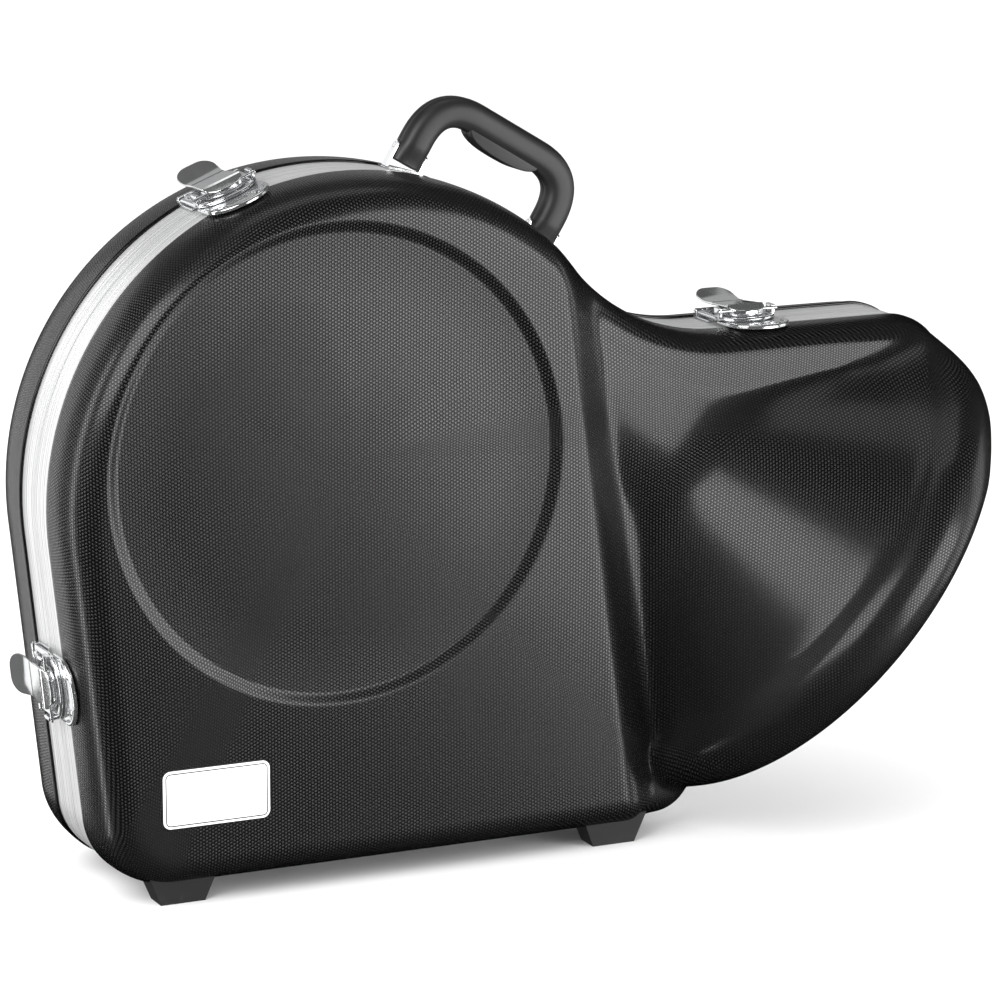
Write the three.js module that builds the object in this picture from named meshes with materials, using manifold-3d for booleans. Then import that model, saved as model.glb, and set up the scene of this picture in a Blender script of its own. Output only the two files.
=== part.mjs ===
// A moulded french horn case that stands on its feet: two shells, a two-part metal band, draw latches,
// a swinging handle, bottom hinges and a padded lining.
// Millimetres, +X to the viewer's right, +Y away from the viewer, +Z up.
import * as THREE from 'three';
import { mergeVertices } from 'three/addons/utils/BufferGeometryUtils.js';
import Module from 'manifold-3d';

const wasm = await Module();
wasm.setup();

// Outline of the case, seen from the front
const ARC_RADIUS = 204;             // the big round over the coiled tubing
const ARC_CENTRE_HEIGHT = 251;
const SIDE_LEAN = 6;                // degrees, how far the left side leans in towards the bottom
const BOTTOM_HEIGHT = 10;           // of the shell's lip above the ground
const TOP_DROP = 121;               // from the crest down to the flat top over the bell
const NECK_RADIUS = 140;            // the hollow curve between the crest and the flat top
const LEFT_CORNER_RADIUS = 48;
const RIGHT_CORNER_RADIUS = 30;
const TOP_CORNER_RADIUS = 45;

// Bell end
const MOUTH_RADIUS = 185;           // outside, about the bell's axis, at the crest of the rolled rim
const MOUTH_REACH = 346;            // sideways from the big round's centre to the middle of the bell's mouth
const MOUTH_DROP = 91.5;            // downwards from the same centre
const MOUTH_TURN = 38.5;            // degrees, the mouth plane from upright
const MOUTH_WALL = 4;               // width over which the end wall rises from the band
const ROLL_RADIUS = 25;             // of the rolled rim
const FLARE_RADIUS = 158;           // where the flare leaves the rolled rim
const THROAT_RADIUS = 38;
const FLARE_LENGTH = 60;            // over which the flare falls to about a third

// Depth of a shell from its half of the band
const FRONT_DEPTH = 46;
const BACK_DEPTH = 56;
const VALLEY_DEPTH = 26;            // in the hollow between the face and the bell
const RIDGE_REACH = 165;            // from the big round's centre to the face's right edge, half way up
const RIDGE_LEAN = 8;               // degrees
const RIDGE_FALL = 34;              // over which the face falls to the hollow
const EDGE_ROUND = 24;              // the face rounds over to its sides within this width
const EDGE_POWER = 2.7;             // 2 is a plain ellipse, more is squarer
const BLEND = 22;                   // how softly the bell runs into the face and into its rolled rim
const DISC_RADIUS = 151;            // the round panel in the face
const DISC_DEPTH = 2.4;
const DISC_LEFT = 25;               // its centre from the big round's centre
const DISC_RISE = 25;

// Walls and clearances
const WALL = 3;
const GAP = 0.3;                    // between pieces that touch
const LINER_GAP = 1.1;
const PADDING = 7.5;
const OVERRUN = 5;                  // of cutters past what they cut
const MERGE_WITHIN = 1e-4;          // corners nearer than this are one

// Metal band
const BAND_HALF = 24.5;             // width of each extrusion
const BAND_INSET = 1.5;             // the shells' lips stand proud of the band
const TONGUE_LENGTH = 6.5;          // of the flange inside the shell
const TONGUE_WALL = 1.6;

// Feet
const FOOT_TOP = 46;
const FOOT_BOTTOM = 30;
const FOOT_DEPTH = 22;
const FOOT_DEPTH_BOTTOM = 18;
const FOOT_SETBACK = 14;            // from the band's edge to the foot
const SCREW_RADIUS = 2;
const SCREW_HEAD_RADIUS = 4.2;
const SCREW_HEAD_RISE = 2;
const SCREW_SINK = 5;               // of the head's seat above the ground
const LEFT_FOOT_REACH = 130;        // from the big round's centre to the front left foot
const RIGHT_FOOT_REACH = 174;
const REAR_FOOT_SHIFT = 25;         // the rear left foot stands nearer the middle

// Hinges on the bottom
const HINGE_SPACING = 105;
const HINGE_WIDTH = 36;
const HINGE_LEAF = 15;
const HINGE_PLATE = 1.2;
const HINGE_PIN_RADIUS = 1.3;
const HINGE_KNUCKLE_RADIUS = 2.9;
const KNUCKLES = 3;

// Draw latches
const LATCH_WIDTH = 44;
const LATCH_PLATE = 1.4;
const LINK_BACK = 19;               // its pivot behind the parting line
const LINK_FRONT = 25;              // its round end in front of the parting line
const LINK_ROUND = 17;              // depth of the round end
const LINK_BAR = 4.4;
const LINK_HEIGHT = 2.6;
const LINK_PIVOT_HEIGHT = 4.6;
const LATCH_PIN_RADIUS = 1.1;
const LATCH_KNUCKLE_RADIUS = 2.3;
const LEVER_WIDTH = 33;
const LEVER_PLATE = 1.6;
const LEVER_FRONT = 18;
const LEVER_CREASE_FRONT = 5;
const LEVER_CREASE_BACK = 13;
const LEVER_BACK = 36;
const LEVER_LIP_RISE = 7;
const LEVER_PIVOT = 14;
const LEVER_PIVOT_HEIGHT = 9.6;
const KEEPER_FRONT = 46;
const KEEPER_BACK = 12;
const KEEPER_ROUND = 18;
const KEEPER_RIM = 3.2;
const KEEPER_RIM_HEIGHT = 1.2;
const RIVET_RADIUS = 2.3;
const RIVET_RISE = 1;
const LATCH_TOP_ANGLE = 111.5;      // degrees round the big round
const LATCH_SIDE_HEIGHT = 138;
const LATCH_FLAT_REACH = 293;       // from the big round's centre

// Handle
const HANDLE_ANGLE = 59;            // degrees round the big round to its middle
const HANDLE_SPAN = 110;            // between the middles of its legs
const HANDLE_HEIGHT = 58.5;
const HANDLE_GRIP_RADIUS = 10.2;
const HANDLE_BEND = 30;
const HANDLE_STANDOFF = 3.4;        // from the band to the ends of the legs
const HANDLE_PIN_RISE = 7.8;        // from the end of a leg to its pin
const LEG_TAPER_LENGTH = 14;        // over which a leg narrows to its rounded end
const HANDLE_PIN_RADIUS = 1.8;
const GRIP_SWELL = 5.5;             // finger pad under the grip
const GRIP_SWELL_LENGTH = 56;
const GRIP_SWELL_WIDTH = 16.4;
const SEAM = 0.3;
const BRACKET_WIDTH = 25;
const BRACKET_DEPTH = 17;
const BRACKET_PLATE = 1.5;
const EAR_WIDTH = 7;
const EAR_GAP = 0.5;

// Name plate, bare
const PLATE_WIDTH = 72;
const PLATE_HEIGHT = 37.5;
const PLATE_THICKNESS = 1.2;
const PLATE_CORNER = 5;
const PLATE_REACH = 111;            // from the big round's centre to its middle
const PLATE_CENTRE_HEIGHT = 72;
const PLATE_SINK = 0.8;             // depth of its recess

// Padded islands inside the coil of tubing
const ISLAND_RADIUS = 62;
const ISLAND_BASE_RADIUS = 74;
const ISLAND_HEIGHT = 34;
const ISLAND_CROWN = 5;             // width and height of its slanted upper edge

// Fineness of the faceted surfaces
// Rings of points over the rounded edge, as shares of its width, from there over the bell, as shares of the
// way to the hollow, and along the ridge, as shares of the width of its slope
const edgeShares = [0, 0.03, 0.13, 0.4, 0.7, 1];
const bellShares = [0.08, 0.17, 0.27, 0.38, 0.5, 0.62, 0.75, 0.88];
const slopeShares = [1.9, 1.55, 1.25, 1, 0.8, 0.6, 0.4, 0.2, 0];
const commonShare = 0.565;                  // the ring that shell and lining have at one place
const rivetShares = [0.66, 0.42, 0.54];     // of a latch's inside width, base depth and keeper width
const ROUND_SEGMENTS = 16;
const DISC_SEGMENTS = 48;

const radians = THREE.MathUtils.degToRad;

function polar(degrees, radius) {
  return new THREE.Vector2(Math.cos(radians(degrees)), Math.sin(radians(degrees))).multiplyScalar(radius);
}

// Places that follow from the sizes. A Vector2 is a point of the front view: x across, y up.
const arcCentre = new THREE.Vector2(0, ARC_CENTRE_HEIGHT);
const topHeight = ARC_CENTRE_HEIGHT + ARC_RADIUS - TOP_DROP;
const neckRise = topHeight + NECK_RADIUS - ARC_CENTRE_HEIGHT;
const neckCentre = new THREE.Vector2(
  Math.sqrt((ARC_RADIUS + NECK_RADIUS) ** 2 - neckRise ** 2),
  topHeight + NECK_RADIUS,
);
const neckAngle = THREE.MathUtils.radToDeg(Math.atan2(neckRise, neckCentre.x));
const mouthCentre = new THREE.Vector2(MOUTH_REACH, ARC_CENTRE_HEIGHT - MOUTH_DROP);
const mouthOut = polar(-MOUTH_TURN, 1);         // the way the bell's mouth looks
const mouthUp = polar(90 - MOUTH_TURN, 1);
const sideIn = polar(SIDE_LEAN, 1);
const sideTop = polar(180 + SIDE_LEAN, ARC_RADIUS).add(arcCentre);
const leftCorner = new THREE.Vector2(0, BOTTOM_HEIGHT + LEFT_CORNER_RADIUS);
leftCorner.x = sideTop.x + (LEFT_CORNER_RADIUS - (leftCorner.y - sideTop.y) * sideIn.y) / sideIn.x;

// The slanted edge across the bell's mouth: its place at a height, a distance inside the outline
function chordX(height, inside) {
  return mouthCentre.x - (inside + (height - mouthCentre.y) * mouthOut.y) / mouthOut.x;
}

const rightCorner = new THREE.Vector2(0, BOTTOM_HEIGHT + RIGHT_CORNER_RADIUS);
rightCorner.x = chordX(rightCorner.y, RIGHT_CORNER_RADIUS);
const topCorner = new THREE.Vector2(0, topHeight - TOP_CORNER_RADIUS);
topCorner.x = chordX(topCorner.y, TOP_CORNER_RADIUS);

// The ridge at the face's right edge, and where the bottom line begins to run under its slope
const ridgeAt = (height) => RIDGE_REACH - (height - ARC_CENTRE_HEIGHT / 2) * Math.tan(radians(RIDGE_LEAN));
const ridgeFootX = ridgeAt(BOTTOM_HEIGHT) - 2 * RIDGE_FALL;

// The outline as points with their inward normals, counter-clockwise in the front view
function arcRun(centre, radius, from, to, steps, hollow = false) {
  return Array.from({ length: steps }, (_, i) => {
    const way = polar(from + ((to - from) * i) / steps, 1);
    const at = way.clone().multiplyScalar(radius).add(centre);
    return { at, inward: way.multiplyScalar(hollow ? 1 : -1) };
  });
}

function lineRun(from, to, steps) {
  const along = to.clone().sub(from).normalize();
  return Array.from({ length: steps }, (_, i) => (
    { at: from.clone().lerp(to, i / steps), inward: new THREE.Vector2(-along.y, along.x) }
  ));
}

const outline = [
  ...lineRun(
    new THREE.Vector2(leftCorner.x, BOTTOM_HEIGHT),
    new THREE.Vector2(ridgeFootX, BOTTOM_HEIGHT),
    2,
  ),
  ...lineRun(
    new THREE.Vector2(ridgeFootX, BOTTOM_HEIGHT),
    new THREE.Vector2(rightCorner.x, BOTTOM_HEIGHT),
    7,
  ),
  ...arcRun(rightCorner, RIGHT_CORNER_RADIUS, -90, -MOUTH_TURN, 3),
  ...lineRun(
    mouthOut.clone().multiplyScalar(RIGHT_CORNER_RADIUS).add(rightCorner),
    mouthOut.clone().multiplyScalar(TOP_CORNER_RADIUS).add(topCorner),
    8,
  ),
  ...arcRun(topCorner, TOP_CORNER_RADIUS, -MOUTH_TURN, 90, 4),
  ...lineRun(
    new THREE.Vector2(topCorner.x, topHeight),
    new THREE.Vector2(neckCentre.x, topHeight),
    4,
  ),
  ...arcRun(neckCentre, NECK_RADIUS, -90, neckAngle - 180, 7, true),
  ...arcRun(arcCentre, ARC_RADIUS, neckAngle, 180 + SIDE_LEAN, 18),
  ...lineRun(sideTop, leftCorner.clone().addScaledVector(sideIn, -LEFT_CORNER_RADIUS), 3),
  ...arcRun(leftCorner, LEFT_CORNER_RADIUS, 180 + SIDE_LEAN, 270, 4),
];

// The middle of the rings of points, on the flat face
const hub = new THREE.Vector2(arcCentre.x, mouthCentre.y);

const smooth = (t) => THREE.MathUtils.smoothstep(t, 0, 1);

// The larger of two values, rounded off where they cross
function softMax(a, b, blend) {
  const near = Math.max(blend - Math.abs(a - b), 0);
  return Math.max(a, b) + (near > 0 ? near ** 2 / (4 * blend) : 0);
}

// Radius of the bell's skin at a distance behind the mouth plane, at a depth under the outer skin:
// a rolled rim, then a hollow flare. Past the rim's end the flare alone counts.
function bellRadius(back, under) {
  const roll = ROLL_RADIUS - under;
  const off = Math.abs(back - ROLL_RADIUS) / roll;
  const fall = Math.exp(-Math.max(back + under - 2 * ROLL_RADIUS, 0) / FLARE_LENGTH);
  const flare = THROAT_RADIUS + (FLARE_RADIUS - THROAT_RADIUS) * fall - under;
  const bulge = Math.sqrt(Math.max(1 - off ** 2, 0)) - Math.max(off - 1, 0);
  const rim = MOUTH_RADIUS - ROLL_RADIUS + roll * bulge;
  return back < ROLL_RADIUS ? rim : softMax(rim, flare, BLEND / 2);
}

// Depth of a shell's skin from its half of the band at a point of the front view: the face, the hollow
// beside its ridge and the bell, each with its own rounding towards the outline
function skinDepth(point, edge, under, depth) {
  const valley = smooth((point.x - ridgeAt(point.y)) / RIDGE_FALL);
  const share = Math.min((edge - under) / (EDGE_ROUND - under), 1);
  const rounded = (1 - (1 - share) ** EDGE_POWER) ** (1 / EDGE_POWER);
  const face = (THREE.MathUtils.lerp(depth, VALLEY_DEPTH, valley) - under) * rounded;
  const reach = point.clone().sub(mouthCentre);
  const radius = bellRadius(-reach.dot(mouthOut), under);
  const across = reach.dot(mouthUp);
  const wall = Math.min((edge - under) / MOUTH_WALL, 1);
  const bell = (Math.sqrt(Math.max(radius ** 2 - across ** 2, 0)) - BAND_HALF) * wall;
  return softMax(face, bell, BLEND * share);
}

// Where the rings cross a line from the hub to a point, as shares of that line. The flat face needs no rings:
// on a line that ends before the ridge they all lie at its end, and solid() merges them.
function ringShares(end) {
  const across = end.x - hub.x + (end.y - hub.y) * Math.tan(radians(RIDGE_LEAN));
  const slope = slopeShares.map((share) => {
    const reach = ridgeAt(hub.y) - hub.x + share * RIDGE_FALL;
    return reach < across ? reach / across : 1;
  });
  return [...bellShares.map((share) => THREE.MathUtils.lerp(1, slope[0], share)), ...slope];
}

// One dished surface as rings of points from its rim to its middle; y is negative on the front half
function dishRings(under, rimY, faceDepth) {
  const ring = (place, depth) => outline.map(({ at, inward }) => {
    const point = place(at, inward);
    return new THREE.Vector3(point.x, -BAND_HALF - depth(point), point.y);
  });
  const offset = (share) => {
    const plain = under + (EDGE_ROUND - under) * share;
    return share > edgeShares[2] ? Math.max(plain, EDGE_ROUND * commonShare) : plain;
  };
  const rings = edgeShares.map((share) => ring(
    (at, inward) => at.clone().addScaledVector(inward, offset(share)),
    (point) => skinDepth(point, offset(share), under, faceDepth),
  ));
  for (let i = 0; i < bellShares.length + slopeShares.length; i += 1) {
    rings.push(ring(
      (at, inward) => {
        const end = at.clone().addScaledVector(inward, EDGE_ROUND);
        return hub.clone().lerp(end, ringShares(end)[i]);
      },
      (point) => skinDepth(point, EDGE_ROUND, under, faceDepth),
    ));
  }
  if (rimY > -BAND_HALF) rings.unshift(rings[0].map((p) => new THREE.Vector3(p.x, rimY, p.z)));
  const middleY = -BAND_HALF - skinDepth(hub, EDGE_ROUND, under, faceDepth);
  return { rings, middle: new THREE.Vector3(hub.x, middleY, hub.y) };
}

// Joins rings of points to a closed mesh: quads between rings, a fan to each middle point. The first rings
// may come from the middle outwards: their quads are then split the other way, as all dishes split alike.
function geometryFromRings(rings, firstMiddle, lastMiddle, outwards = 0) {
  const count = rings[0].length;
  const positions = rings.flat().flatMap((p) => [p.x, p.y, p.z]);
  const index = [];
  for (let j = 0; j + 1 < rings.length; j += 1) {
    for (let i = 0; i < count; i += 1) {
      const a = j * count + i;
      const b = j * count + ((i + 1) % count);
      const far = [a + count, b + count];
      index.push(...(j < outwards ? [a, b, far[0], b, far[1], far[0]] : [a, b, far[1], a, far[1], far[0]]));
    }
  }
  const fan = (middle, ringIndex, flip) => {
    const top = positions.length / 3;
    positions.push(middle.x, middle.y, middle.z);
    for (let i = 0; i < count; i += 1) {
      const a = ringIndex * count + i;
      const b = ringIndex * count + ((i + 1) % count);
      index.push(...(flip ? [b, a, top] : [a, b, top]));
    }
  };
  if (firstMiddle) fan(firstMiddle, 0, true);
  if (lastMiddle) fan(lastMiddle, rings.length - 1, false);
  const geometry = new THREE.BufferGeometry();
  geometry.setAttribute('position', new THREE.Float32BufferAttribute(positions, 3));
  geometry.setIndex(index);
  return geometry;
}

// Solids for joining and cutting
function volumeOf(geometry) {
  const p = geometry.attributes.position;
  const corner = [0, 1, 2].map(() => new THREE.Vector3());
  let sum = 0;
  for (let i = 0; i < geometry.index.count; i += 3) {
    corner.forEach((v, k) => v.fromBufferAttribute(p, geometry.index.getX(i + k)));
    sum += corner[0].dot(corner[1].clone().cross(corner[2]));
  }
  return sum / 6;
}

function solid(geometry) {
  const bare = new THREE.BufferGeometry();
  bare.setAttribute('position', geometry.attributes.position.clone());
  bare.setIndex(geometry.index ? geometry.index.clone() : null);
  const merged = mergeVertices(bare, MERGE_WITHIN);
  const corners = Array.from(merged.index.array);
  const kept = corners.filter((_, i) => new Set(corners.slice(i - (i % 3), i - (i % 3) + 3)).size === 3);
  const triVerts = new Uint32Array(kept);
  if (volumeOf(merged) < 0) {
    for (let i = 0; i < triVerts.length; i += 3) {
      [triVerts[i], triVerts[i + 1]] = [triVerts[i + 1], triVerts[i]];
    }
  }
  const vertProperties = new Float32Array(merged.attributes.position.array);
  return new wasm.Manifold(new wasm.Mesh({ numProp: 3, vertProperties, triVerts }));
}

const join = (...pieces) => pieces.reduce((a, b) => a.add(b));
const cut = (body, ...tools) => tools.reduce((a, b) => a.subtract(b), body);

function box(width, depth, height, x, y, z) {
  return solid(new THREE.BoxGeometry(width, depth, height).translate(x, y, z));
}

// A round bar along one of the axes x, y or z, centred on a point
function bar(radius, length, axis, x, y, z, segments = ROUND_SEGMENTS) {
  const geometry = new THREE.CylinderGeometry(radius, radius, length, segments);
  if (axis === 'x') geometry.rotateZ(Math.PI / 2);
  if (axis === 'z') geometry.rotateX(Math.PI / 2);
  return solid(geometry.translate(x, y, z));
}

// A shape of the x, y plane given a height along z
function slab(shape, height, z = 0, curveSegments = 6) {
  const geometry = new THREE.ExtrudeGeometry(shape, { depth: height, bevelEnabled: false, curveSegments });
  return solid(geometry.translate(0, 0, z));
}

// A shape of the y, z plane given a width along x, centred
function section(shape, width) {
  const geometry = new THREE.ExtrudeGeometry(shape, { depth: width, bevelEnabled: false });
  geometry.applyMatrix4(new THREE.Matrix4().makeBasis(
    new THREE.Vector3(0, 1, 0), new THREE.Vector3(0, 0, 1), new THREE.Vector3(1, 0, 0),
  ));
  return solid(geometry.translate(-width / 2, 0, 0));
}

const polygon = (points) => new THREE.Shape(points.map(([x, y]) => new THREE.Vector2(x, y)));

function dome(radius, rise, x, y, z) {
  const sphereRadius = (radius ** 2 + rise ** 2) / (2 * rise);
  const profile = [new THREE.Vector2(0, 0), new THREE.Vector2(radius, 0)];
  for (let i = 1; i <= 2; i += 1) {
    const r = radius * (1 - i / 2);
    profile.push(new THREE.Vector2(r, Math.sqrt(sphereRadius ** 2 - r ** 2) - (sphereRadius - rise)));
  }
  return solid(new THREE.LatheGeometry(profile, 8).rotateX(Math.PI / 2).translate(x, y, z));
}

const mirrored = (body) => body.mirror([0, 1, 0]);

// Finishes
function finish(color, roughness, metalness) {
  return new THREE.MeshStandardMaterial({ color, roughness, metalness });
}

const finishes = {
  shell: finish(0x111113, 0.5, 0),
  band: finish(0xd4d7da, 0.35, 1),
  chrome: finish(0xc9ccd0, 0.12, 1),
  rubber: finish(0x17171a, 0.8, 0),
  grip: finish(0x141416, 0.55, 0),
  steel: finish(0x9ea2a6, 0.3, 1),
  plush: finish(0x1c1d22, 0.95, 0),
  plate: finish(0xf2f2f0, 0.3, 0.1),
};

const horncase = new THREE.Group();

function addPiece(name, body, material, parent = horncase) {
  const { numProp, vertProperties, triVerts } = body.getMesh();
  if (numProp !== 3) throw new Error(`${name} carries more than positions`);
  const geometry = new THREE.BufferGeometry();
  geometry.setAttribute('position', new THREE.BufferAttribute(vertProperties, 3));
  geometry.setIndex(new THREE.BufferAttribute(triVerts, 1));
  geometry.computeVertexNormals();
  const mesh = new THREE.Mesh(geometry, material);
  mesh.name = name;
  parent.add(mesh);
}

// Shells, with the round panel sunk in the face and the name plate's recess
function dishSolid(outerUnder, innerUnder, rimY, faceDepth) {
  const outer = dishRings(outerUnder, rimY, faceDepth);
  const inner = dishRings(innerUnder, rimY, faceDepth);
  const rings = [...outer.rings.toReversed(), ...inner.rings];
  return solid(geometryFromRings(rings, outer.middle, inner.middle, outer.rings.length));
}

const discCentre = new THREE.Vector2(arcCentre.x - DISC_LEFT, arcCentre.y + DISC_RISE);

function shellSolid(faceDepth) {
  const faceY = -BAND_HALF - faceDepth;
  const tool = bar(DISC_RADIUS, 2 * DISC_DEPTH, 'y', discCentre.x, faceY, discCentre.y, DISC_SEGMENTS);
  const floorY = faceY + DISC_DEPTH + WALL / 2;
  const floor = bar(DISC_RADIUS + WALL, WALL, 'y', discCentre.x, floorY, discCentre.y, DISC_SEGMENTS);
  return cut(join(dishSolid(0, WALL, -BAND_HALF, faceDepth), floor), tool);
}

const plateCentre = new THREE.Vector2(arcCentre.x - PLATE_REACH, PLATE_CENTRE_HEIGHT);

function plateSlab(grow, thickness, backY) {
  const w = PLATE_WIDTH / 2 + grow;
  const h = PLATE_HEIGHT / 2 + grow;
  const r = PLATE_CORNER + grow;
  const shape = new THREE.Shape();
  shape.absarc(w - r, h - r, r, 0, Math.PI / 2);
  shape.absarc(r - w, h - r, r, Math.PI / 2, Math.PI);
  shape.absarc(r - w, r - h, r, Math.PI, 1.5 * Math.PI);
  shape.absarc(w - r, r - h, r, 1.5 * Math.PI, 2 * Math.PI);
  return slab(shape, thickness, 0, 4).rotate([90, 0, 0]).translate(plateCentre.x, backY, plateCentre.y);
}

const recessY = -BAND_HALF - FRONT_DEPTH + PLATE_SINK;
addPiece('shell_back', mirrored(shellSolid(BACK_DEPTH)), finishes.shell);
addPiece('shell_front', cut(shellSolid(FRONT_DEPTH), plateSlab(GAP, OVERRUN, recessY)), finishes.shell);
addPiece('name_plate', plateSlab(0, PLATE_THICKNESS, recessY - GAP), finishes.plate);

// Band: an extrusion round each half, with a flange inside the shell
function bandSolid() {
  const flangeUnder = WALL + 2 * GAP;
  const innerUnder = flangeUnder + TONGUE_WALL;
  const profile = [
    [BAND_INSET, -GAP / 2],
    [BAND_INSET, -BAND_HALF + GAP],
    [flangeUnder, -BAND_HALF + GAP],
    [flangeUnder, -BAND_HALF - TONGUE_LENGTH],
    [innerUnder, -BAND_HALF - TONGUE_LENGTH],
    [innerUnder, -GAP / 2],
  ];
  const rings = profile.map(([under, y]) => outline.map(({ at, inward }) => {
    const point = at.clone().addScaledVector(inward, under);
    return new THREE.Vector3(point.x, y, point.y);
  }));
  return solid(geometryFromRings([...rings, rings[0]]));
}

const band = bandSolid();
addPiece('band_front', band, finishes.band);
addPiece('band_back', mirrored(band), finishes.band);

// Lining
const linerUnder = WALL + 2 * GAP + TONGUE_WALL + LINER_GAP;
const cavityUnder = linerUnder + PADDING;
const linerSolid = (faceDepth) => dishSolid(linerUnder, cavityUnder, -2 * GAP, faceDepth);
addPiece('liner_front', linerSolid(FRONT_DEPTH), finishes.plush);
addPiece('liner_back', mirrored(linerSolid(BACK_DEPTH)), finishes.plush);

// Padded islands inside the coil of tubing
function island(faceDepth) {
  const profile = [
    new THREE.Vector2(0, 0),
    new THREE.Vector2(ISLAND_BASE_RADIUS, 0),
    new THREE.Vector2(ISLAND_RADIUS, ISLAND_HEIGHT - ISLAND_CROWN),
    new THREE.Vector2(ISLAND_RADIUS - ISLAND_CROWN, ISLAND_HEIGHT),
    new THREE.Vector2(0, ISLAND_HEIGHT),
  ];
  const floorY = cavityUnder - BAND_HALF - faceDepth;
  const geometry = new THREE.LatheGeometry(profile, 28);
  return solid(geometry.translate(arcCentre.x, floorY + GAP, arcCentre.y));
}

addPiece('island_pad_front', island(FRONT_DEPTH), finishes.plush);
addPiece('island_pad_back', mirrored(island(BACK_DEPTH)), finishes.plush);

// Feet, their tops shaped to the shell
function shellBlank(faceDepth) {
  const { rings, middle } = dishRings(-GAP, 0, faceDepth);
  return solid(geometryFromRings(rings, new THREE.Vector3(hub.x, 0, hub.y), middle));
}

function foot(x, blank) {
  const top = BOTTOM_HEIGHT + OVERRUN * 2;
  const near = -BAND_HALF - FOOT_SETBACK;
  const slope = (FOOT_DEPTH - FOOT_DEPTH_BOTTOM) / 2;
  const corners = [
    [FOOT_BOTTOM / 2, near - slope, near - FOOT_DEPTH + slope, 0],
    [FOOT_TOP / 2, near, near - FOOT_DEPTH, top],
  ];
  const rings = corners.map(([half, back, front, z]) => [
    new THREE.Vector3(x - half, front, z), new THREE.Vector3(x + half, front, z),
    new THREE.Vector3(x + half, back, z), new THREE.Vector3(x - half, back, z),
  ]);
  const middle = near - FOOT_DEPTH / 2;
  const body = geometryFromRings(rings, new THREE.Vector3(x, middle, 0), new THREE.Vector3(x, middle, top));
  const sink = bar(SCREW_HEAD_RADIUS + GAP, 2 * SCREW_SINK, 'z', x, middle, 0, 10);
  const hole = bar(SCREW_RADIUS + GAP, 2 * top, 'z', x, middle, top, 10);
  const head = dome(SCREW_HEAD_RADIUS, SCREW_HEAD_RISE, x, -middle, GAP - SCREW_SINK).rotate([180, 0, 0]);
  const shank = bar(SCREW_RADIUS, top, 'z', x, middle, SCREW_SINK - SCREW_HEAD_RISE + top / 2, 10);
  return {
    body: cut(solid(body), blank, sink, hole),
    screw: cut(join(head, shank), blank),
  };
}

const leftFoot = arcCentre.x - LEFT_FOOT_REACH;
const rightFoot = arcCentre.x + RIGHT_FOOT_REACH;
const frontBlank = shellBlank(FRONT_DEPTH);
const backBlank = shellBlank(BACK_DEPTH);
const feet = [
  ['front_left', leftFoot, frontBlank, (body) => body],
  ['front_right', rightFoot, frontBlank, (body) => body],
  ['back_left', leftFoot + REAR_FOOT_SHIFT, backBlank, mirrored],
  ['back_right', rightFoot, backBlank, mirrored],
];
feet.forEach(([name, x, blank, place]) => {
  const { body, screw } = foot(x, blank);
  addPiece(`foot_${name}`, place(body), finishes.rubber);
  addPiece(`foot_screw_${name}`, place(screw), finishes.steel);
});

// Hinges: two leaves under the band and a pin
const bandBottom = BOTTOM_HEIGHT + BAND_INSET;
const hingeAxisHeight = bandBottom - GAP - HINGE_KNUCKLE_RADIUS - HINGE_PLATE;

function hingeLeaf(x, knuckles) {
  const knuckleLength = HINGE_WIDTH / KNUCKLES;
  const plateZ = bandBottom - GAP - HINGE_PLATE / 2;
  const reach = HINGE_LEAF - GAP;
  const plate = box(HINGE_WIDTH, reach, HINGE_PLATE, x, -GAP - reach / 2, plateZ);
  const parts = knuckles.map((k) => {
    const middle = x + (k - (KNUCKLES - 1) / 2) * knuckleLength;
    const long = knuckleLength - GAP;
    const web = box(long, HINGE_KNUCKLE_RADIUS, HINGE_PLATE + HINGE_KNUCKLE_RADIUS, middle,
      -GAP - HINGE_KNUCKLE_RADIUS / 2, plateZ - HINGE_KNUCKLE_RADIUS / 2);
    return join(web, bar(HINGE_KNUCKLE_RADIUS, long, 'x', middle, 0, hingeAxisHeight, 12));
  });
  const bore = bar(HINGE_PIN_RADIUS + GAP, HINGE_WIDTH + OVERRUN, 'x', x, 0, hingeAxisHeight, 8);
  return cut(join(plate, ...parts), bore);
}

const hingeMiddle = (leftCorner.x + rightCorner.x) / 2;
[-1, 0, 1].forEach((step, i) => {
  const x = hingeMiddle + step * HINGE_SPACING;
  const pin = bar(HINGE_PIN_RADIUS, HINGE_WIDTH, 'x', x, 0, hingeAxisHeight, 8);
  addPiece(`hinge_${i + 1}_leaf_front`, hingeLeaf(x, [0, 2]), finishes.steel);
  addPiece(`hinge_${i + 1}_leaf_back`, mirrored(hingeLeaf(x, [1])), finishes.steel);
  addPiece(`hinge_${i + 1}_pin`, pin, finishes.steel);
});

// A group whose x runs along the outline, y across the band and z outwards, resting on the band's outer face
function seatOn(at, inward) {
  const seat = new THREE.Group();
  const surface = at.clone().addScaledVector(inward, BAND_INSET);
  seat.position.set(surface.x, 0, surface.y);
  seat.rotation.y = Math.atan2(-inward.x, -inward.y);
  horncase.add(seat);
  return seat;
}

// A plate with straight sides and a round end: from back to front, x is its width
function roundEnded(width, back, front, round) {
  const half = width / 2;
  const shape = new THREE.Shape([new THREE.Vector2(-half, back), new THREE.Vector2(-half, round - front)]);
  shape.absellipse(0, round - front, half, round, Math.PI, 2 * Math.PI);
  shape.lineTo(half, back);
  return shape;
}

// Latches
const keeperBase = BAND_INSET + GAP;
const linkInner = LATCH_WIDTH - 2 * LINK_BAR;

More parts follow.
